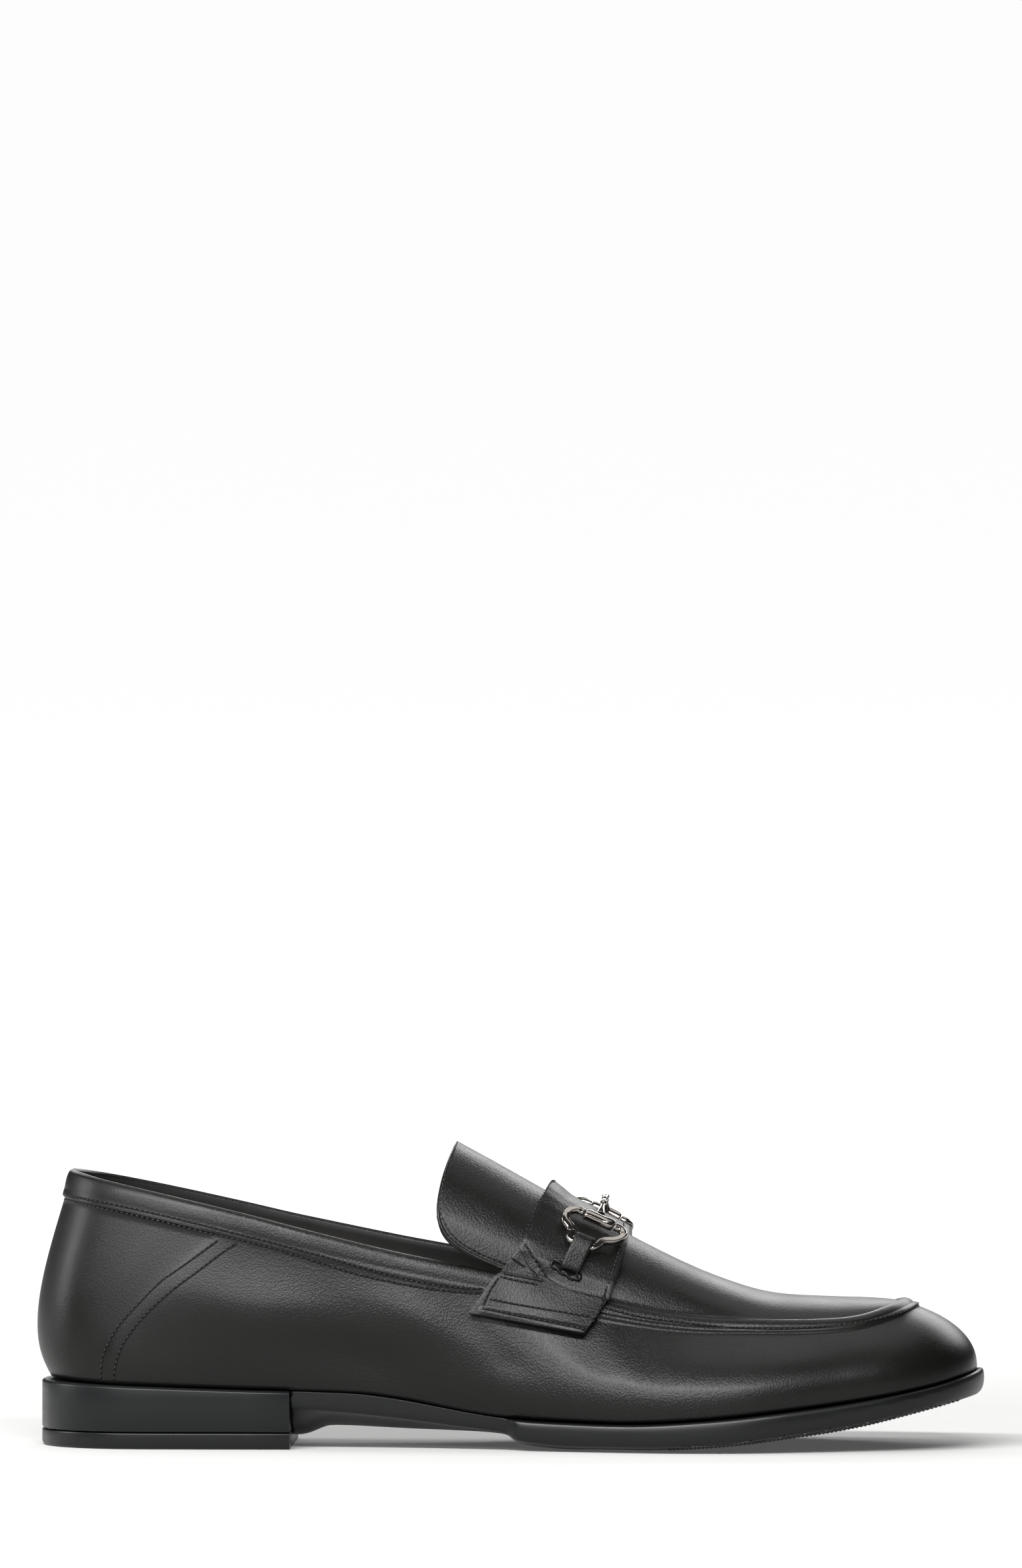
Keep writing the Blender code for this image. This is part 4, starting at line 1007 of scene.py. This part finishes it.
class LOAFER_OT_strap(PieceOperator, bpy.types.Operator):
    """Makes the saddle strap with its stitches and the braided slots of its keepers"""

    bl_idname = "loafer.strap"
    bl_label = "Saddle strap"

    def execute(self, context):
        strap = crisp_copy(
            "strap", "strap_calf", material("box_calf"), STRAP_ROUNDING, 2, self.straighten_notch
        )
        self.pad_tabs(strap)
        dress(strap, "calf", "strap")
        surface = surface_of(strap)
        rows = []
        for pixels in (TAB_ROW_UPPER, TAB_ROW_LOWER, TAB_ROW_REAR, NOTCH_ROW, NOTCH_LIP_ROW):
            rows += both_sides(surface, pixels)
        lips = both_sides(surface, NOTCH_LIP)
        dress(cords("notch_lips", lips, LIP_RADIUS, material("box_calf"), LIP_LIFT), "calf")
        # A dark strip of painted shade stands for the slit under the notch's top layer.
        seam_shade_strips("notch_slit_shade", both_sides(surface, NOTCH_SLIT), NOTCH_SLIT_WIDTH, NOTCH_SLIT_LIFT)
        low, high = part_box("strap")
        middle = low.x + STRAP_MIDDLE_SHARE * (high.x - low.x)
        for angles, on, off in (
            (STRAP_FRONT_ANGLES, middle - STRAP_FRONT_START, high.x + BEYOND_EDGE),
            (STRAP_REAR_ANGLES, middle, low.x - BEYOND_EDGE),
        ):
            rows.append(edge_line(surface, angles, on, off, sizes().edge_margin))
        stitches("strap_stitches", rows)
        # Dark strips of painted shade under the rows of stitches.
        seam_shade_strips("strap_seam_shade", rows)
        self.make_slots(surface)
        return {"FINISHED"}

    def straighten_notch(self, strap):
        """Moves the notch's cut edge over the strap to where the photograph has it, on both sides."""
        points = points_of(strap)
        for k, place in enumerate(points):
            near = Vector((place[0], -abs(place[1]), place[2]))
            x = ORIGIN_PIXEL[0] + near.dot(VIEW_RIGHT) / PIXEL
            y = ORIGIN_PIXEL[1] - near.dot(VIEW_UP) / PIXEL
            shift, total = Vector((0.0, 0.0)), 0.0
            for centre, move in NOTCH_NUDGES:
                weight = math.exp(-(((Vector((x, y)) - Vector(centre)).length / NUDGE_REACH) ** 2))
                shift += weight * Vector(move)
                total += weight
            if shift.length < LEAST_NUDGE:
                continue
            across = PIXEL * (shift.x * VIEW_RIGHT - shift.y * VIEW_UP) / max(total, 1.0)
            outward = Vector((0.0, near.y, near.z - STRAP_CORE_HEIGHT)).normalized()
            near += across - VIEW_AHEAD * (across.dot(outward) / VIEW_AHEAD.dot(outward))
            points[k] = (near.x, math.copysign(near.y, place[1]), near.z)
        set_points(strap, points)

    def pad_tabs(self, strap):
        """Raises the padded roll between the two rows of stitches along each tab's lower edge."""
        points, normals = points_of(strap), normals_of(strap)
        origin = np.array(ORIGIN_PIXEL)
        start, end = ((np.array(pixel) - origin) * (PIXEL, -PIXEL) for pixel in TAB_ROLL)
        _, away = beside_line(points, start, end)
        outward = np.abs(points[:, 1]) > TABS_OUTWARD_OF
        rise = np.maximum(0.0, 1 - (away / (TAB_ROLL_WIDTH / 2)) ** 2) * TAB_ROLL_HEIGHT
        facing_out = normals[:, 1] * points[:, 1] > 0
        points += normals * (rise * outward * facing_out)[:, None]
        set_points(strap, points)

    def make_slots(self, surface):
        """The braided lips round each keeper's slot, and a dark strip of painted shade for the slit in
        them.
        """
        loops = both_sides(surface, SLOT_LOOP + SLOT_LOOP[:1], steps=14)
        slits = both_sides(surface, SLOT_SLIT, steps=10)
        cord = sizes().slot_cord
        dress(cords("slot_braids", loops, cord, material("box_calf"), 0.45 * cord, plait=0.3), "calf")
        seam_shade_strips("slot_slit_shade", slits, SLOT_SLIT_WIDTH, SLOT_SLIT_LIFT)


class LOAFER_OT_bit(PieceOperator, bpy.types.Operator):
    """Makes the polished bit and its leather keepers"""

    bl_idname = "loafer.bit"
    bl_label = "Bit"

    def execute(self, context):
        for side in ("lateral", "medial"):
            self.make_metal("bit_ring_" + side)
            self.make_metal("bit_bar_" + side)
            node = "keeper_" + side
            keeper = refined_copy(node, node + "_calf", material("box_calf"), 2, sharp=50, crease=0.7)
            dress(keeper, "calf", node)
        self.make_metal("bit_link")
        return {"FINISHED"}

    def make_metal(self, node):
        """One polished piece of the bit."""
        surface = material("polished_gunmetal")
        dress(refined_copy(node, node + "_metal", surface, 3, sharp=50, crease=0.6), "gunmetal", node)


class LOAFER_OT_sole(PieceOperator, bpy.types.Operator):
    """Makes the sole with its tread, the heel, and the sock inside"""

    bl_idname = "loafer.sole"
    bl_label = "Sole and heel"

    def execute(self, context):
        rubber = material("sole_rubber")
        outsole = refined_copy("outsole", "outsole_rubber", rubber, 2, sharp=60, crease=0.85)
        dress(outsole, "sole_rubber", "outsole")
        block = crisp_copy("heel_block", "heel_block_leather", material("waxed_heel"), HEEL_ROUNDING)
        dress(block, "heel_leather", "heel_block")
        lift = crisp_copy("heel_top_lift", "heel_top_lift_rubber", rubber, HEEL_ROUNDING)
        dress(lift, "sole_rubber", "heel_top_lift")
        sock = refined_copy("insole", "sock_leather", material("lining_leather"), 2, sharp=45, crease=0.9)
        dress(sock, "lining", "insole")
        self.make_tread(surface_of(outsole))
        return {"FINISHED"}

    def make_tread(self, surface):
        """Fine ribs across the forepart's tread, where it springs up from the floor."""
        vertices, faces = [], []
        pitch, height = sizes().tread_pitch, sizes().tread_height
        ahead = Vector((pitch * RIB_HALF_SHARE, 0, 0))
        for x in np.arange(TREAD_REAR, TREAD_FRONT, pitch):
            rows = []
            for y in np.linspace(-TREAD_HALF_WIDTH, TREAD_HALF_WIDTH, TREAD_STEPS):
                hit, normal, _, _ = surface.ray_cast(Vector((x, y, -BELOW_FLOOR)), Vector((0, 0, 1)))
                if hit and normal.z < FACES_DOWN and hit.z > height + FLOOR_ROOM:
                    rows.append((hit, normal))
            for k, (point, normal) in enumerate(rows):
                vertices += [point - ahead, point + normal * height, point + ahead]
                if k:
                    a = len(vertices) - 6
                    faces += [(a, a + 1, a + 4, a + 3), (a + 1, a + 2, a + 5, a + 4)]
                    faces.append((a + 2, a, a + 3, a + 5))
            if rows:
                last = len(vertices) - 3
                first = len(vertices) - 3 * len(rows)
                faces += [(first + 2, first + 1, first), (last, last + 1, last + 2)]
        tread = new_mesh_object("tread_ribs", vertices, faces, material("sole_rubber"))
        bpy.ops.object.mode_set(mode="EDIT")
        bpy.ops.mesh.select_all(action="SELECT")
        bpy.ops.mesh.normals_make_consistent(inside=False)
        bpy.ops.object.mode_set(mode="OBJECT")
        bpy.ops.object.shade_flat()
        dress(tread, "sole_rubber")


class Softbox(NamedTuple):
    """A soft light: where it stands, what it points at, its width and height, and its power in watts."""

    name: str
    place: tuple
    target: tuple
    width: float
    height: float
    power: float


SOFTBOXES = (
    Softbox("front_strip", (-0.32, -1.16, 1.02), (0.02, 0.0, 0.04), 1.7, 0.15, 48.0),
    Softbox("side_panel", (-0.40, -1.40, 0.55), (-0.04, 0.0, 0.04), 0.9, 0.25, 7.0),
    Softbox("top_panel", (0.05, 0.45, 1.60), (0.02, 0.0, 0.04), 1.6, 0.9, 8.0),
    Softbox("back_panel", (0.15, 1.3, 0.70), (0.03, 0.0, 0.06), 1.6, 0.4, 12.0),
    Softbox("heel_panel", (-1.35, 0.15, 0.55), (-0.1, 0.0, 0.04), 0.5, 0.7, 9.0),
)
WORLD_GREY = 0.05

# The floor is a slab, so that a low view that starts inside it still has something pale behind. It
# glows a little near the shoe and more farther off, as the photograph's backdrop does
FLOOR_SIDE = 30.0
FLOOR_DEPTH = 2.0
FLOOR_GLOW_START = 0.25
FLOOR_GLOW_END = 1.6
FLOOR_GLOW_NEAR = 0.08
FLOOR_GLOW_FAR = 0.95

CAMERA_DISTANCE = 2.0
CAMERA_REACH = 60.0


class LOAFER_OT_stage(PieceOperator, bpy.types.Operator):
    """Makes the pale floor, the soft lights and the camera of the photograph"""

    bl_idname = "loafer.stage"
    bl_label = "Studio"

    def execute(self, context):
        deselect()
        bpy.ops.mesh.primitive_cube_add(
            size=1.0, location=(0.0, 0.0, -FLOOR_DEPTH / 2), scale=(FLOOR_SIDE, FLOOR_SIDE, FLOOR_DEPTH)
        )
        bpy.ops.object.transform_apply(location=True, rotation=True, scale=True)
        floor = context.active_object
        floor.name = "studio_floor"
        floor.data.materials.append(self.studio_paper())
        for box in SOFTBOXES:
            bpy.ops.object.light_add(type="AREA", location=box.place)
            light = context.active_object
            light.name = box.name
            light.data.shape = "RECTANGLE"
            light.data.size = box.width
            light.data.size_y = box.height
            light.data.energy = box.power
            aim = Vector(box.target) - Vector(box.place)
            light.rotation_euler = aim.to_track_quat("-Z", "Y").to_euler()
        world = bpy.data.worlds.new("studio")
        world.use_nodes = True
        background = world.node_tree.nodes["Background"]
        background.inputs["Color"].default_value = (WORLD_GREY, WORLD_GREY, WORLD_GREY, 1.0)
        context.scene.world = world
        context.scene.view_settings.view_transform = "Standard"
        self.make_camera(context)
        return {"FINISHED"}

    def studio_paper(self):
        """Matt backdrop paper, pale, with a painted glow that is faint near the shoe and brightens to white
        farther off.
        """
        surface, tree, shader, place = new_material("studio_paper", colours().floor, 0.9, specular=0.1)
        shader.inputs["Emission Color"].default_value = (1.0, 1.0, 1.0, 1.0)
        away = add_node(tree, "ShaderNodeVectorMath", {"operation": "LENGTH"}, {0: place})
        glow = add_node(
            tree,
            "ShaderNodeMapRange",
            {
                "From Min": FLOOR_GLOW_START,
                "From Max": FLOOR_GLOW_END,
                "To Min": FLOOR_GLOW_NEAR,
                "To Max": FLOOR_GLOW_FAR,
            },
            {"Value": away.outputs["Value"]},
        )
        # Painted glow: the paper emits light, faint near the shoe and strong far off.
        tree.links.new(glow.outputs["Result"], shader.inputs["Emission Strength"])
        return surface

    def make_camera(self, context):
        """A camera with parallel rays, because the photograph was taken from far away."""
        middle = at_pixel(PHOTO_WIDTH / 2, PHOTO_HEIGHT / 2)
        bpy.ops.object.camera_add(location=middle - VIEW_AHEAD * CAMERA_DISTANCE)
        camera = context.active_object
        camera.name = "photo_camera"
        camera.rotation_euler = VIEW_AHEAD.to_track_quat("-Z", "Y").to_euler()
        camera.data.type = "ORTHO"
        camera.data.ortho_scale = PHOTO_HEIGHT * PIXEL
        camera.data.clip_end = CAMERA_REACH
        context.scene.camera = camera


class LOAFER_PT_panel(bpy.types.Panel):
    """Lists the pieces of the loafer"""

    bl_idname = "LOAFER_PT_panel"
    bl_label = "Bit loafer"
    bl_space_type = "VIEW_3D"
    bl_region_type = "UI"
    bl_category = "Loafer"

    def draw(self, context):
        for operator in OPERATORS:
            self.layout.operator(operator.bl_idname)
        for group in (context.scene.loafer_sizes, context.scene.loafer_colours):
            for name in group.__annotations__:
                self.layout.prop(group, name)


OPERATORS = (
    LOAFER_OT_stage,
    LOAFER_OT_upper,
    LOAFER_OT_tongue,
    LOAFER_OT_strap,
    LOAFER_OT_bit,
    LOAFER_OT_sole,
)
CLASSES = (LoaferSizes, LoaferColours, *OPERATORS, LOAFER_PT_panel)


def register():
    for item in CLASSES:
        bpy.utils.register_class(item)
    bpy.types.Scene.loafer_sizes = PointerProperty(type=LoaferSizes)
    bpy.types.Scene.loafer_colours = PointerProperty(type=LoaferColours)


def unregister():
    del bpy.types.Scene.loafer_colours
    del bpy.types.Scene.loafer_sizes
    for item in reversed(CLASSES):
        bpy.utils.unregister_class(item)


def main():
    register()
    bpy.ops.loafer.stage()
    bpy.ops.loafer.upper()
    bpy.ops.loafer.tongue()
    bpy.ops.loafer.strap()
    bpy.ops.loafer.bit()
    bpy.ops.loafer.sole()


if __name__ == "__main__":
    main()
